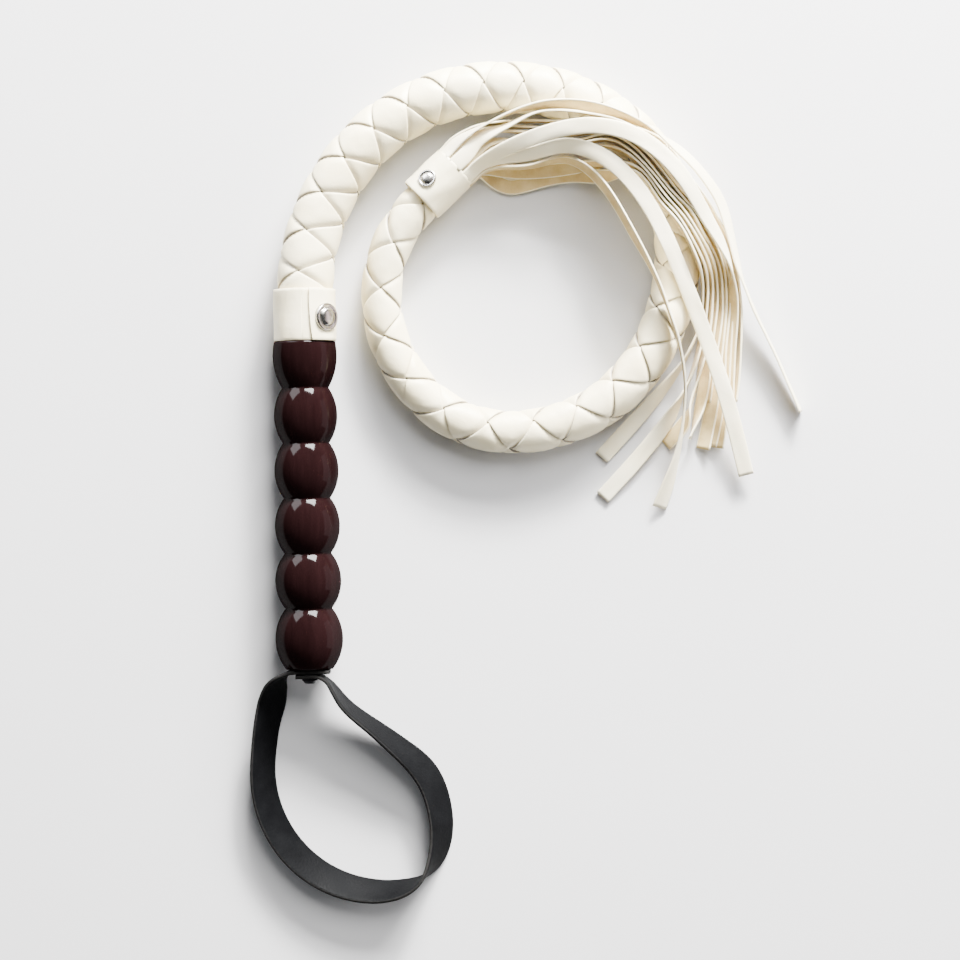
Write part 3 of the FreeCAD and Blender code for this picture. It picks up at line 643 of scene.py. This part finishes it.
# ---------------------------------------------------------------- meshes
def make_object(name, vertices, faces, materials, marks=None, uvs=None):
    mesh = bpy.data.meshes.new(name)
    mesh.from_pydata([tuple(v) for v in vertices], [], faces)
    for material in materials:
        mesh.materials.append(material)
    for polygon in mesh.polygons:
        polygon.use_smooth = True
        if marks:
            polygon.material_index = marks[polygon.index]
    if uvs:
        layer = mesh.uv_layers.new(name="UVMap")
        for polygon in mesh.polygons:
            for loop in polygon.loop_indices:
                layer.data[loop].uv = uvs[mesh.loops[loop].vertex_index]
    mesh.update()
    thing = bpy.data.objects.new(name, mesh)
    scene.collection.objects.link(thing)
    return thing


def grid_faces(rings, count):
    """Quads between rings of vertices, and the two end caps."""
    faces = []
    for ring in range(rings - 1):
        for i in range(count):
            j = (i + 1) % count
            this, following = ring * count, (ring + 1) * count
            faces.append((this + i, this + j, following + j, following + i))
    faces.append(tuple(reversed(range(count))))
    faces.append(tuple((rings - 1) * count + i for i in range(count)))
    return faces


def lathe(name, profile, origin, direction, material, segments=96):
    """Turns a profile of (radius, height) pairs round an axis. A radius of 0 closes it."""
    across = direction.orthogonal().normalized()
    other = direction.cross(across)
    vertices = []
    for radius, height in profile:
        for i in range(segments):
            turn = 2 * math.pi * i / segments
            place = across * (math.cos(turn) * radius) + other * (math.sin(turn) * radius)
            vertices.append((origin + place + direction * height) * MM)
    return make_object(name, vertices, grid_faces(len(profile), segments), [material])


def arc_points(start, middle, end, count):
    """Points along the circular arc through three points of a profile."""
    ax, ay = start
    bx, by = middle
    cx, cy = end
    a_square = ax * ax + ay * ay
    b_square = bx * bx + by * by
    c_square = cx * cx + cy * cy
    d = 2 * (ax * (by - cy) + bx * (cy - ay) + cx * (ay - by))
    ux = (a_square * (by - cy) + b_square * (cy - ay) + c_square * (ay - by)) / d
    uy = (a_square * (cx - bx) + b_square * (ax - cx) + c_square * (bx - ax)) / d
    radius = math.hypot(ax - ux, ay - uy)
    first = math.atan2(ay - uy, ax - ux)
    last = math.atan2(cy - uy, cx - ux)
    return [(ux + radius * math.cos(first + (last - first) * i / count),
             uy + radius * math.sin(first + (last - first) * i / count)) for i in range(count + 1)]


# ---------------------------------------------------------------- grip
BULB_STEPS = 26
WAIST_FILLET = 0.35         # on each side of the groove between two bulbs
WAIST_ROUND = 0.02
FACE_PROUD = 0.1            # end face, past the shoulder, under the collar
FACE_CHAMFER = 0.7


def make_grip():
    """Six turned bulbs in one piece, from the butt to the shoulder."""
    count = len(BULB_RADII)
    first = BUTT_Y + BUTT_BULB_LENGTH
    last = SHOULDER_Y - TOP_BULB_LENGTH
    pitch = (last - first) / (count - 2)
    stations = [(BUTT_RADIUS, BUTT_Y)]
    stations += [(GROOVE_RADIUS, first + pitch * i) for i in range(count - 1)]
    stations.append((SHOULDER_RADIUS, SHOULDER_Y))
    profile = [(0.0, BUTT_Y), (BUTT_RADIUS - 1.6, BUTT_Y), (BUTT_RADIUS - 0.5, BUTT_Y + 0.12)]
    for bulb, (low, high) in enumerate(zip(stations, stations[1:])):
        middle = (low[1] + high[1]) / 2
        if bulb == count - 1:
            middle = low[1] + TOP_BULB_LENGTH * TOP_BULB_MIDDLE
        points = arc_points(low, (BULB_RADII[bulb], middle), high, BULB_STEPS)
        if bulb > 0:
            points = [p for p in points if p[1] > low[1] + WAIST_FILLET]
            points.insert(0, (GROOVE_RADIUS + WAIST_ROUND, low[1] + WAIST_ROUND))
        if bulb < count - 1:
            points = [p for p in points if p[1] < high[1] - WAIST_FILLET]
            points.append((GROOVE_RADIUS + WAIST_ROUND, high[1] - WAIST_ROUND))
        profile += points
    face = SHOULDER_Y + FACE_PROUD
    profile += [(SHOULDER_RADIUS - FACE_CHAMFER, face), (0.0, face)]
    grip = lathe("grip", profile, Vector((HANDLE_X, 0, HANDLE_Z)), Vector((0, 1, 0)), WOOD, 128)
    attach(grip, "handle")
    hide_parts("handle_grip")


# ---------------------------------------------------------------- collars and rivets
SHEET_EDGE = 0.22           # rounding of the sheet's edges
SHEET_STEPS = 150           # along the winding
RIPPLE = 0.42               # dents of the sheet
FINE_RIPPLE = 0.08
SWELL = 0.1                 # bulge in the middle of the collar
WANDER = 0.18               # of the collar's ends
COLLAR_END_GAP = 0.25       # between the collar and the top bulb


def wrapped_sheet(name, origin, ahead, top, length, turns, bow, material, slant=0.0, bend=0.0):
    """A sheet wound round an axis. turns gives (angle from the top, inner radius) along the winding,
    bow scales its dents, and slant and bend, in degrees, shape its first edge."""
    side = ahead.cross(top)
    angles = [t[0] for t in turns]
    edge = SHEET_EDGE / length
    # section of the sheet: (share of its width, share of its thickness)
    outline = [(0, 0.25), (0, 0.75), (edge, 0.97), (0.06, 1), (0.2, 1), (0.35, 1), (0.5, 1),
               (0.65, 1), (0.8, 1), (0.94, 1), (1 - edge, 0.97), (1, 0.75), (1, 0.25),
               (1 - edge, 0.03), (0.5, 0), (edge, 0.03)]
    rings = []
    for step in range(SHEET_STEPS + 1):
        along = step / SHEET_STEPS
        angle = angles[0] + (angles[-1] - angles[0]) * step / SHEET_STEPS
        inner = level(angles, [t[1] for t in turns], angle)
        ring = []
        for share, lift in outline:
            skew = (slant * (0.5 - share) + bend * (2 * share - 1) ** 2) * (1 - along)
            turn = math.radians(angle + skew)
            out = top * math.cos(turn) + side * math.sin(turn)
            ripple = RIPPLE * noise.noise(Vector((angle / 34, share * 2.4, 4.0))) * bow
            ripple += FINE_RIPPLE * noise.noise(Vector((angle / 11, share * 7, 1.0))) * bow
            swell = bow * math.sin(math.pi * share) * SWELL
            radius = inner + SHEET * lift + ripple + swell
            wander = WANDER * noise.noise(Vector((angle / 50, 9.0, 0))) * bow
            ring.append((origin + ahead * (share * length + wander) + out * radius) * MM)
        rings += ring
    return make_object(name, rings, grid_faces(SHEET_STEPS + 1, len(outline)), [material])


def make_handle_collar():
    """Three pieces: the turn round the back, the flap on top of it, and the end under the flap."""
    start = Vector((HANDLE_X, SHOULDER_Y + COLLAR_END_GAP, HANDLE_Z))
    along = Vector((0, 1, 0))
    length = HANDLE_COLLAR_LENGTH - COLLAR_END_GAP
    base = COLLAR_BORE
    sheet = wrapped_sheet("grip_collar", start, along, UP, length,
                          [(118, base), (200, base), (300, base + 0.02), (360, base + 0.05)],
                          1.0, WHITE_SHEET)
    flap = wrapped_sheet("grip_collar_flap", start, along, UP, length,
                         [(13, base + SHEET * 1.3), (22, base + SHEET * 1.1),
                          (60, base + SHEET * 0.9), (112, base + SHEET * 0.55), (150, base)],
                         1.0, WHITE_SHEET, 5.0, 2.5)
    under = wrapped_sheet("grip_collar_under", start, along, UP, length,
                          [(0, base + 0.05), (60, base), (118, base)], 1.0, WHITE_SHEET)
    for piece in (sheet, flap, under):
        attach(piece, "handle")
    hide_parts("handle_collar")


DOME_STEPS = 14


def rivet_profile(radius, height, seat):
    """Stepped rim, shallow channel and domed middle, on a round seat of that radius."""
    skirt = seat - math.sqrt(seat * seat - radius * radius)
    dome = radius * 0.66
    rim = height * 0.42
    foot = rim * 0.7
    points = [(0.0, -skirt * 0.2), (radius * 0.9, -skirt), (radius, -skirt * 0.8),
              (radius, rim * 0.3), (radius * 0.985, rim * 0.75), (radius * 0.93, rim),
              (radius * 0.85, rim * 1.02), (radius * 0.78, rim * 0.9), (dome * 1.06, rim * 0.62),
              (dome * 1.02, rim * 0.66)]
    for i in range(1, DOME_STEPS + 1):
        turn = math.pi / 2 * i / DOME_STEPS
        points.append((dome * math.cos(turn), foot + (height - foot) * math.sin(turn) ** 0.85))
    points[-1] = (0.0, height)
    return points


def make_rivet(name, node, origin, direction, seat, radius, height):
    """A rivet cap that faces the direction, its foot at the distance seat from the origin."""
    rivet = lathe(name, rivet_profile(radius, height, seat), origin + direction * seat, direction,
                  NICKEL, 64)
    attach(rivet, "handle")
    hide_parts(node)
    return rivet


# ---------------------------------------------------------------- thong
ROUTE_RESOLUTION = 48


def thong_line():
    """Centreline of the thong: the same spline as in part.py, sampled."""
    curve = bpy.data.curves.new("thong_route", "CURVE")
    curve.dimensions = "3D"
    curve.resolution_u = ROUTE_RESOLUTION
    spline = curve.splines.new("NURBS")
    spline.points.add(len(THONG_ROUTE) - 1)
    for point, (x, y, z) in zip(spline.points, THONG_ROUTE):
        point.co = (x * MM, y * MM, z * MM, 1)
    spline.order_u = 3
    spline.use_endpoint_u = True
    holder = bpy.data.objects.new("thong_route", curve)
    scene.collection.objects.link(holder)
    bpy.context.view_layer.update()
    mesh = bpy.data.meshes.new_from_object(holder)
    points = [v.co / MM for v in mesh.vertices]
    bpy.data.objects.remove(holder)
    bpy.data.meshes.remove(mesh)
    return Line([Vector(p) for p in points])


# Distance along the thong, in mm, and number of half turns that each strip has made there.
CROSSINGS = [(0, -0.2), (48, 2.5), (102, 5.5), (155, 8.5), (232, 12.85), (311, 17), (417, 22),
             (545, 28), (600, 30.5)]
# Distance along the thong and how far the whole plait is twisted, in degrees.
TWIST = [(0, -80), (50, -76), (100, -84), (155, -84), (240, -66), (311, -43), (375, -36), (438, -8),
         (468, 12), (500, 3), (545, -12), (600, -15)]
STRIP_THICKNESS = 1.2
STRIP_LIFT = 1.0
STRIP_CROWN = 0.45
STRIP_COVER = 0.955         # share of half a turn
STRIP_STEEPNESS = 3.4       # how suddenly a strip dives under the next
CROWN_PROUD = 0.35          # of the crowns over the nominal radius
FLAT_SHARE = 0.45           # of the weave's height that is left at the two ends
ROOT_FLAT = (16, 12)        # where the weave starts to rise past the root, and over how far
TIP_FLAT = (12, 8)          # the same, counted back from the tip
THONG_STATIONS = 520
STRIP_TOP_STEPS = 22
STRIP_UNDER_STEPS = 8


def thong_radius(distance):
    share = min(1.0, distance / TAPER_LENGTH)
    return THONG_START_RADIUS + (THONG_END_RADIUS - THONG_START_RADIUS) * share


def make_thong(line):
    """Four strips as one mesh: two wind one way and two the other, each over one and under one."""
    turn_places = [p[0] for p in CROSSINGS]
    turn_bends = spline_bends(turn_places, [p[1] for p in CROSSINGS])
    twist_places = [p[0] for p in TWIST]
    twist_bends = spline_bends(twist_places, [p[1] for p in TWIST])
    stations = THONG_STATIONS
    top = STRIP_TOP_STEPS
    under = STRIP_UNDER_STEPS
    loop = [(-1 + 2 * (i + 0.5) / top, 1.0) for i in range(top)]
    loop = [(v * 0.985, w) for v, w in loop] + [(0.992, 0.72), (1.0, 0.25), (1.0, -0.3), (0.99, -0.8)]
    loop += [(0.97 - 1.94 * i / (under - 1), -1.0) for i in range(under)]
    loop += [(-0.99, -0.8), (-1.0, -0.3), (-1.0, 0.25), (-0.992, 0.72)]
    vertices = []
    faces = []
    marks = []
    for family in (1, -1):
        for index in (0, 1):
            seed = 7.3 * index + 3.1 * family
            first = len(vertices)
            for station in range(stations + 1):
                place = line.length * station / stations
                centre, ahead, side, rise = line.at(place)
                turned = math.pi * smooth(turn_places, [p[1] for p in CROSSINGS], turn_bends, place)
                twist = math.radians(smooth(twist_places, [p[1] for p in TWIST], twist_bends, place))
                end_share = min(1.0, max(0.0, (place - ROOT_FLAT[0]) / ROOT_FLAT[1]),
                                max(0.0, (line.length - TIP_FLAT[0] - place) / TIP_FLAT[1]))
                ease = FLAT_SHARE + (1 - FLAT_SHARE) * end_share
                outer = thong_radius(place) + CROWN_PROUD
                middle = outer - STRIP_THICKNESS / 2 - (STRIP_LIFT + STRIP_CROWN) * 0.93
                wobble = 1 + 0.012 * noise.noise(Vector((place / 11, seed, 0)))
                half = math.pi / 2 * STRIP_COVER * wobble
                drift = 0.035 * noise.noise(Vector((place / 16, seed, 5)))
                for v, w in loop:
                    u = v * half + drift
                    theta = u + family * turned + twist + math.pi * index
                    other = theta + family * turned - twist - math.pi * index
                    over = family * math.cos(other)
                    lift = math.tanh(STRIP_STEEPNESS * over) / math.tanh(STRIP_STEEPNESS)
                    swell = max(0.0, over) ** 0.55 * max(0.0, math.cos(u * 0.98)) ** 0.5
                    swell *= 1 + 0.35 * noise.noise(Vector((place / 9, theta * 1.3, seed)))
                    radius = middle + (STRIP_LIFT * lift + STRIP_CROWN * swell) * ease
                    radius += w * STRIP_THICKNESS / 2
                    radius += 0.12 * noise.noise(Vector((place / 4.5, theta * 2.2, seed + 2)))
                    vertices.append((centre + side * (math.cos(theta) * radius)
                                     + rise * (math.sin(theta) * radius)) * MM)
            ring = len(loop)
            for number, face in enumerate(grid_faces(stations + 1, ring)):
                faces.append(tuple(first + i for i in face))
                # the side faces and undersides of the strips take the cut edge colour, darkened with
                # painted shade
                where = number % ring if number < stations * ring else 0
                marks.append(1 if top <= where < ring - 1 else 0)
    thong = make_object("braided_thong", vertices, faces, [WHITE_BRAID, CUT_EDGE_AND_SHADE], marks)
    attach(thong, "handle")
    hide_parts("thong_braid")
    return thong


# ---------------------------------------------------------------- bands
FADE_IN = 12                # cup and wave grow over this length
FADE_OUT = 6                # and shrink again over this one
ROOT_REACH = 22             # length over which a root is bent round the thong


def band(name, rows, side_at, width, thickness, step, materials, cup=0.0, wave=0.0, seed=0.0,
         across=8, root_cup=0.0):
    """A strip whose middle runs over the x and y of the rows and whose lower edge is at their z.
    The first of the materials is for its face and edges, the second, if any, for its back."""
    walked = [0.0]
    for a, b in zip(rows, rows[1:]):
        walked.append(walked[-1] + math.dist(a[:3], b[:3]))
    xs = [row[0] for row in rows]
    ys = [row[1] for row in rows]
    lows = [row[2] for row in rows]
    x_bends = spline_bends(walked, xs)
    y_bends = spline_bends(walked, ys)

    def on_edge(place):
        return Vector((smooth(walked, xs, x_bends, place), smooth(walked, ys, y_bends, place),
                       level(walked, lows, place)))

    loop = [(-1 + 2 * (i + 0.5) / across, 1.0) for i in range(across)]
    loop = [(v * 0.97, w) for v, w in loop] + [(0.985, 0.8), (1.0, 0.3), (1.0, -0.3), (0.985, -0.8)]
    loop += [(-v, -w) for v, w in loop[:across]]
    loop += [(-0.985, -0.8), (-1.0, -0.3), (-1.0, 0.3), (-0.985, 0.8)]
    ring = len(loop)
    count = round(walked[-1] / step)
    vertices = []
    uvs = []
    for station in range(count + 1):
        place = walked[-1] * station / count
        tangent = (on_edge(place + 0.5) - on_edge(place - 0.5)).normalized()
        side = side_at(walked, place, tangent)
        side = (side - tangent * side.dot(tangent)).normalized()
        centre = on_edge(place) + UP * (abs(side.z) * width / 2)
        through = tangent.cross(side).normalized()
        fade = min(1.0, place / FADE_IN, (walked[-1] - place) / FADE_OUT + 0.35)
        root = max(0.0, 1 - place / ROOT_REACH) if root_cup else 0.0
        for v, w in loop:
            bend = cup * (1 - v * v) * fade + root_cup * root * root * v * v
            ripple = wave * noise.noise(Vector((place / 14, seed, v * 0.8))) * fade
            depth = -bend - ripple + w * thickness / 2
            vertices.append((centre + side * (v * width / 2) + through * depth) * MM)
            uvs.append((place / width, 0.5 + v / 2))
    faces = grid_faces(count + 1, ring)
    marks = []
    for index, face in enumerate(faces):
        where = index % ring if index < len(faces) - 2 else 0
        marks.append(1 if len(materials) > 1 and where < across - 1 and index < len(faces) - 2 else 0)
    return make_object(name, vertices, faces, materials, marks, uvs)


def nearest_half_turn(roll, target):
    """The roll, give or take half turns, that is nearest to the target."""
    while roll - target > 90:
        roll -= 180
    while roll - target < -90:
        roll += 180
    return roll


# How far the bunched strands tip over beyond upright, in degrees: (beside the coil, at their tips).
TIPPED = {2: (18, 30), 3: (38, 55), 7: (10, 10), 8: (16, 16), 9: (24, 42), 10: (32, 52), 11: (38, 60),
          12: (42, 66), 13: (44, 70)}
BUNCH_X = 120               # they do so only beyond this x from the shoulder
UPRIGHT = (84, 96)          # and in rows with a roll between these
TIP_FROM = 64               # y from the shoulder at which they start to tip
TIP_TO = 36                 # and at which they are tipped as beside the coil
ENDS_FROM = 14              # and from which they go on towards the tilt of their tips
ENDS_TO = -40

# Rolls of single rows of the strands that turn their back up: {strand: {row: roll}}.
TURNED = {
    1: {1: 98, 2: 140, 3: 105, 4: 55, 7: 80, 8: 78, 9: 75},
    5: {0: 96, 1: 106, 2: 115, 3: 110, 4: 100, 5: 92, 6: 90, 7: 85, 8: 65, 9: 25},
    6: {0: 170, 1: 172, 2: 160, 3: 140},
    7: {0: 145, 1: 152, 2: 135, 3: 100},
}


def tipped(number, listed):
    """The rows with the bunched strands laid over and the turned ones turned."""
    if number in TURNED:
        turned = TURNED[number]
        listed = [(x, y, low, turned.get(i, roll)) for i, (x, y, low, roll) in enumerate(listed)]
    if number not in TIPPED:
        return listed
    beside, at_tip = TIPPED[number]
    rows = []
    for x, y, low, roll in listed:
        if x > BUNCH_X and y < TIP_FROM and UPRIGHT[0] <= roll <= UPRIGHT[1]:
            share = min(1.0, (TIP_FROM - y) / (TIP_FROM - TIP_TO))
            at_end = min(1.0, max(0.0, (ENDS_FROM - y) / (ENDS_FROM - ENDS_TO)))
            roll = 90 + share * (beside + (at_tip - beside) * at_end)
        rows.append((x, y, low, roll))
    return rows


ROOT_BACK = 1.5             # length of a strand inside the collar
STRAND_STEP = 1.6
STRAP_STEP = 1.2


def make_strand(number, ring, place, listed, tip, ahead, inner_side):
    """One strand from its place round the thong's tip, in degrees, along its listed rows."""
    lift = THONG_START_RADIUS / STRANDS_LIE_OVER
    listed = tipped(number, listed)
    rows = [(x, y, low * lift, roll) for x, y, low, roll in from_shoulder(listed)]
    mouth = tip + ahead * (TASSEL_COLLAR_LENGTH - TASSEL_COLLAR_COVER + STRAND_GAP)
    turn = math.radians(place)
    start = mouth + inner_side * (ring * math.cos(turn)) + UP * (ring * math.sin(turn))
    lead = start + ahead * STRAND_LEAD
    near = start + ahead * (STRAND_LEAD / 3)
    back = start - ahead * ROOT_BACK
    roll = nearest_half_turn(place + 90, rows[0][3])
    low = start.z - STRAND_WIDTH / 2 * abs(math.sin(math.radians(roll)))
    lead_low = low + LEAD_DROP * (rows[0][2] - low)
    all_rows = [(back.x, back.y, low, roll), (near.x, near.y, low, roll),
                (lead.x, lead.y, lead_low, roll + LEAD_ROLL * (rows[0][3] - roll))] + rows
    rolls = [row[3] for row in all_rows]

    def side_at(walked, where, tangent):
        angle = math.radians(level(walked, rolls, where))
        side = tangent.cross(UP).normalized()
        return side * math.cos(angle) + side.cross(tangent) * math.sin(angle)

    out = inner_side * math.cos(turn) + UP * math.sin(turn)
    angle = math.radians(roll)
    root_side = inner_side * math.cos(angle) + inner_side.cross(ahead) * math.sin(angle)
    facing = 1 if ahead.cross(root_side).dot(out) > 0 else -1
    strand = band("strand_%02d" % number, all_rows, side_at, STRAND_WIDTH, STRAND_THICKNESS,
                  STRAND_STEP, [WHITE_STRAND, STRIP_BACK], cup=0.25, wave=0.35, seed=number * 3.7,
                  root_cup=facing * STRAND_WIDTH ** 2 / 8 / ring)
    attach(strand, "handle")
    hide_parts("tassel_strand_%02d" % number)
    return strand


def make_strap():
    """The wrist loop, both ends folded over each other at the butt."""
    lean_x = [row[3] for row in STRAP_ROUTE]
    lean_y = [row[4] for row in STRAP_ROUTE]

    def side_at(walked, place, tangent):
        x = level(walked, lean_x, place)
        y = level(walked, lean_y, place)
        return Vector((x, y, math.sqrt(STRAP_WIDTH ** 2 - x * x - y * y)))

    strap = band("wrist_loop_strap", STRAP_ROUTE, side_at, STRAP_WIDTH, STRAP_THICKNESS, STRAP_STEP,
                 [STRAP], across=12)
    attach(strap, "wrist_loop")
    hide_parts("wrist_strap")


# ---------------------------------------------------------------- build
INNER_SHORTER = 0.4         # the tassel collar's inner sheet, so that its end doesn't show
PATH_STEPS = 140

make_grip()
make_handle_collar()
rivet_turn = math.radians(COLLAR_RIVET_TURN)
make_rivet("collar_rivet", "collar_rivet_cap",
           Vector((HANDLE_X, SHOULDER_Y + COLLAR_RIVET_PLACE, HANDLE_Z)),
           Vector((math.sin(rivet_turn), 0, math.cos(rivet_turn))), COLLAR_BORE + 2 * SHEET,
           COLLAR_RIVET_RADIUS, COLLAR_RIVET_HEIGHT)

line = thong_line()
thong = make_thong(line)
tip = Vector(THONG_ROUTE[-1])
ahead = (tip - Vector(THONG_ROUTE[-2])).normalized()
inner_side = ahead.cross(UP).normalized()
tassel_sheet = wrapped_sheet("tassel_collar_inner", tip - ahead * TASSEL_COLLAR_COVER, ahead, UP,
                             TASSEL_COLLAR_LENGTH - INNER_SHORTER,
                             [(0, TASSEL_BORE), (180, TASSEL_BORE), (360, TASSEL_BORE)],
                             0.8, WHITE_SHEET)
tassel_wrap = wrapped_sheet("tassel_collar_outer", tip - ahead * TASSEL_COLLAR_COVER, ahead, UP,
                            TASSEL_COLLAR_LENGTH + STRAND_GAP,
                            [(-75, TASSEL_BORE + SHEET + 0.1), (100, TASSEL_BORE + SHEET + 0.05),
                             (275, TASSEL_BORE + SHEET + 0.15)], 1.3, WHITE_SHEET)
for piece in (tassel_sheet, tassel_wrap):
    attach(piece, "handle")
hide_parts("tassel_collar")
tassel_turn = math.radians(TASSEL_RIVET_TURN)
tassel_rivet = make_rivet("tassel_rivet", "tassel_rivet_cap",
                          tip + ahead * (TASSEL_RIVET_PLACE - TASSEL_COLLAR_COVER),
                          UP * math.cos(tassel_turn) - inner_side * math.sin(tassel_turn),
                          TASSEL_OUTER, TASSEL_RIVET_RADIUS, TASSEL_RIVET_HEIGHT)
strand_pieces = [make_strand(number, ring, place, listed, tip, ahead, inner_side)
                 for number, (ring, place, listed) in enumerate(STRANDS, start=1)]
path = [tuple(line.at(line.length * i / PATH_STEPS)[0] * MM) for i in range(PATH_STEPS + 1)]
make_strap()

# the parts of the CAD that stay in view under the pieces above
# the screw and the washer take the steel painted dark as painted shade
for node, material in (("collar_rivet_post", NICKEL), ("tassel_rivet_post", NICKEL),
                       ("butt_screw", STEEL_PAINTED_SHADE), ("strap_washer", STEEL_PAINTED_SHADE), ("thong_core", STRIP_BACK)):
    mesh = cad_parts[node].data
    for slot_number in range(max(1, len(mesh.materials))):
        if len(mesh.materials) == 0:
            mesh.materials.append(material)
        else:
            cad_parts[node].material_slots[slot_number].material = material

# ---------------------------------------------------------------- floor and light
FLOOR_REACH = 3.0           # in metres
FLOOR_DROP = 0.0002
floor_corners = [(x * FLOOR_REACH, y * FLOOR_REACH, 0)
                 for x, y in ((-1, -1), (1, -1), (1, 1), (-1, 1))]
floor_mesh = bpy.data.meshes.new("floor")
floor_mesh.from_pydata(floor_corners, [], [(0, 1, 2, 3)])
floor_mesh.materials.append(paper_floor())
floor = bpy.data.objects.new("floor", floor_mesh)
floor.location.z = -FLOOR_DROP
scene.collection.objects.link(floor)

# a pale wall all round, for views from low down: only the camera sees it, and no light or reflection
WALL_REACH = 2.0            # in metres
WALL_SIDES = 96
wall_rows = (-0.001, 0.2, 0.7, 1.4, 2.4)
wall_turns = [2 * math.pi * i / WALL_SIDES for i in range(WALL_SIDES)]
wall_points = [(WALL_REACH * math.cos(turn), WALL_REACH * math.sin(turn), z)
               for z in wall_rows for turn in wall_turns]
wall_faces = [(row * WALL_SIDES + i, row * WALL_SIDES + (i + 1) % WALL_SIDES,
               (row + 1) * WALL_SIDES + (i + 1) % WALL_SIDES, (row + 1) * WALL_SIDES + i)
              for row in range(len(wall_rows) - 1) for i in range(WALL_SIDES)]
wall_mesh = bpy.data.meshes.new("backdrop")
wall_mesh.from_pydata(wall_points, [], wall_faces)
wall_mesh.materials.append(pale_wall())
wall = bpy.data.objects.new("backdrop", wall_mesh)
scene.collection.objects.link(wall)
for sight in ("visible_diffuse", "visible_glossy", "visible_transmission", "visible_volume_scatter",
              "visible_shadow"):
    setattr(wall, sight, False)


def area_light(name, place, target, size, watts, colour):
    """A rectangular lamp at a place, in metres, that looks at the target."""
    data = bpy.data.lights.new(name, "AREA")
    data.shape = "RECTANGLE"
    data.size, data.size_y = size
    data.energy = watts
    data.color = colour
    light = bpy.data.objects.new(name, data)
    light.location = place
    light.rotation_euler = (Vector(target) - Vector(place)).to_track_quat("-Z", "Y").to_euler()
    scene.collection.objects.link(light)
    return light


key = area_light("key", (0.50, 1.50, 0.66), (0.05, 0.1, 0), (0.26, 0.20), 110, (1.0, 0.985, 0.96))
side = area_light("side", (1.6, 0.25, 0.55), (0.1, 0.1, 0), (0.9, 0.5), 18, (1.0, 0.97, 0.96))
window = area_light("window", (0.55, 1.5, 0.72), (0.08, 0.1, 0), (1.0, 0.5), 232, (1.0, 0.99, 0.975))
sky = area_light("sky", (0.5, 1.0, 1.4), (0.08, 0.1, 0), (0.9, 0.9), 34, (1.0, 0.995, 0.985))
overhead = area_light("overhead", (0.1, 0.2, 2.1), (0.08, 0.1, 0), (1.6, 1.6), 6, (0.97, 0.985, 1.0))
for light in (key, side, window, sky, overhead):
    light.visible_glossy = False
# these make the highlights and light nothing themselves
glint = area_light("glint", (0.36, 1.45, 0.52), (0.0, 0.1, 0), (0.75, 0.6), 420, (1.0, 0.99, 0.98))
glow = area_light("glow", (-0.80, 1.18, 0.46), (0.0, 0.1, 0), (0.7, 0.7), 52, (0.96, 0.97, 1.0))
low_side = area_light("side_band", (1.6, 0.2, 0.3), (0.0, 0.1, 0.02), (1.6, 0.8), 14,
                      (1.0, 0.8, 0.83))
for light in (glint, glow, low_side):
    light.visible_diffuse = False
world = bpy.data.worlds.new("studio")
world.use_nodes = True
world.node_tree.nodes["Background"].inputs["Color"].default_value = (0.93, 0.95, 1.0, 1)
world.node_tree.nodes["Background"].inputs["Strength"].default_value = 0.10
scene.world = world
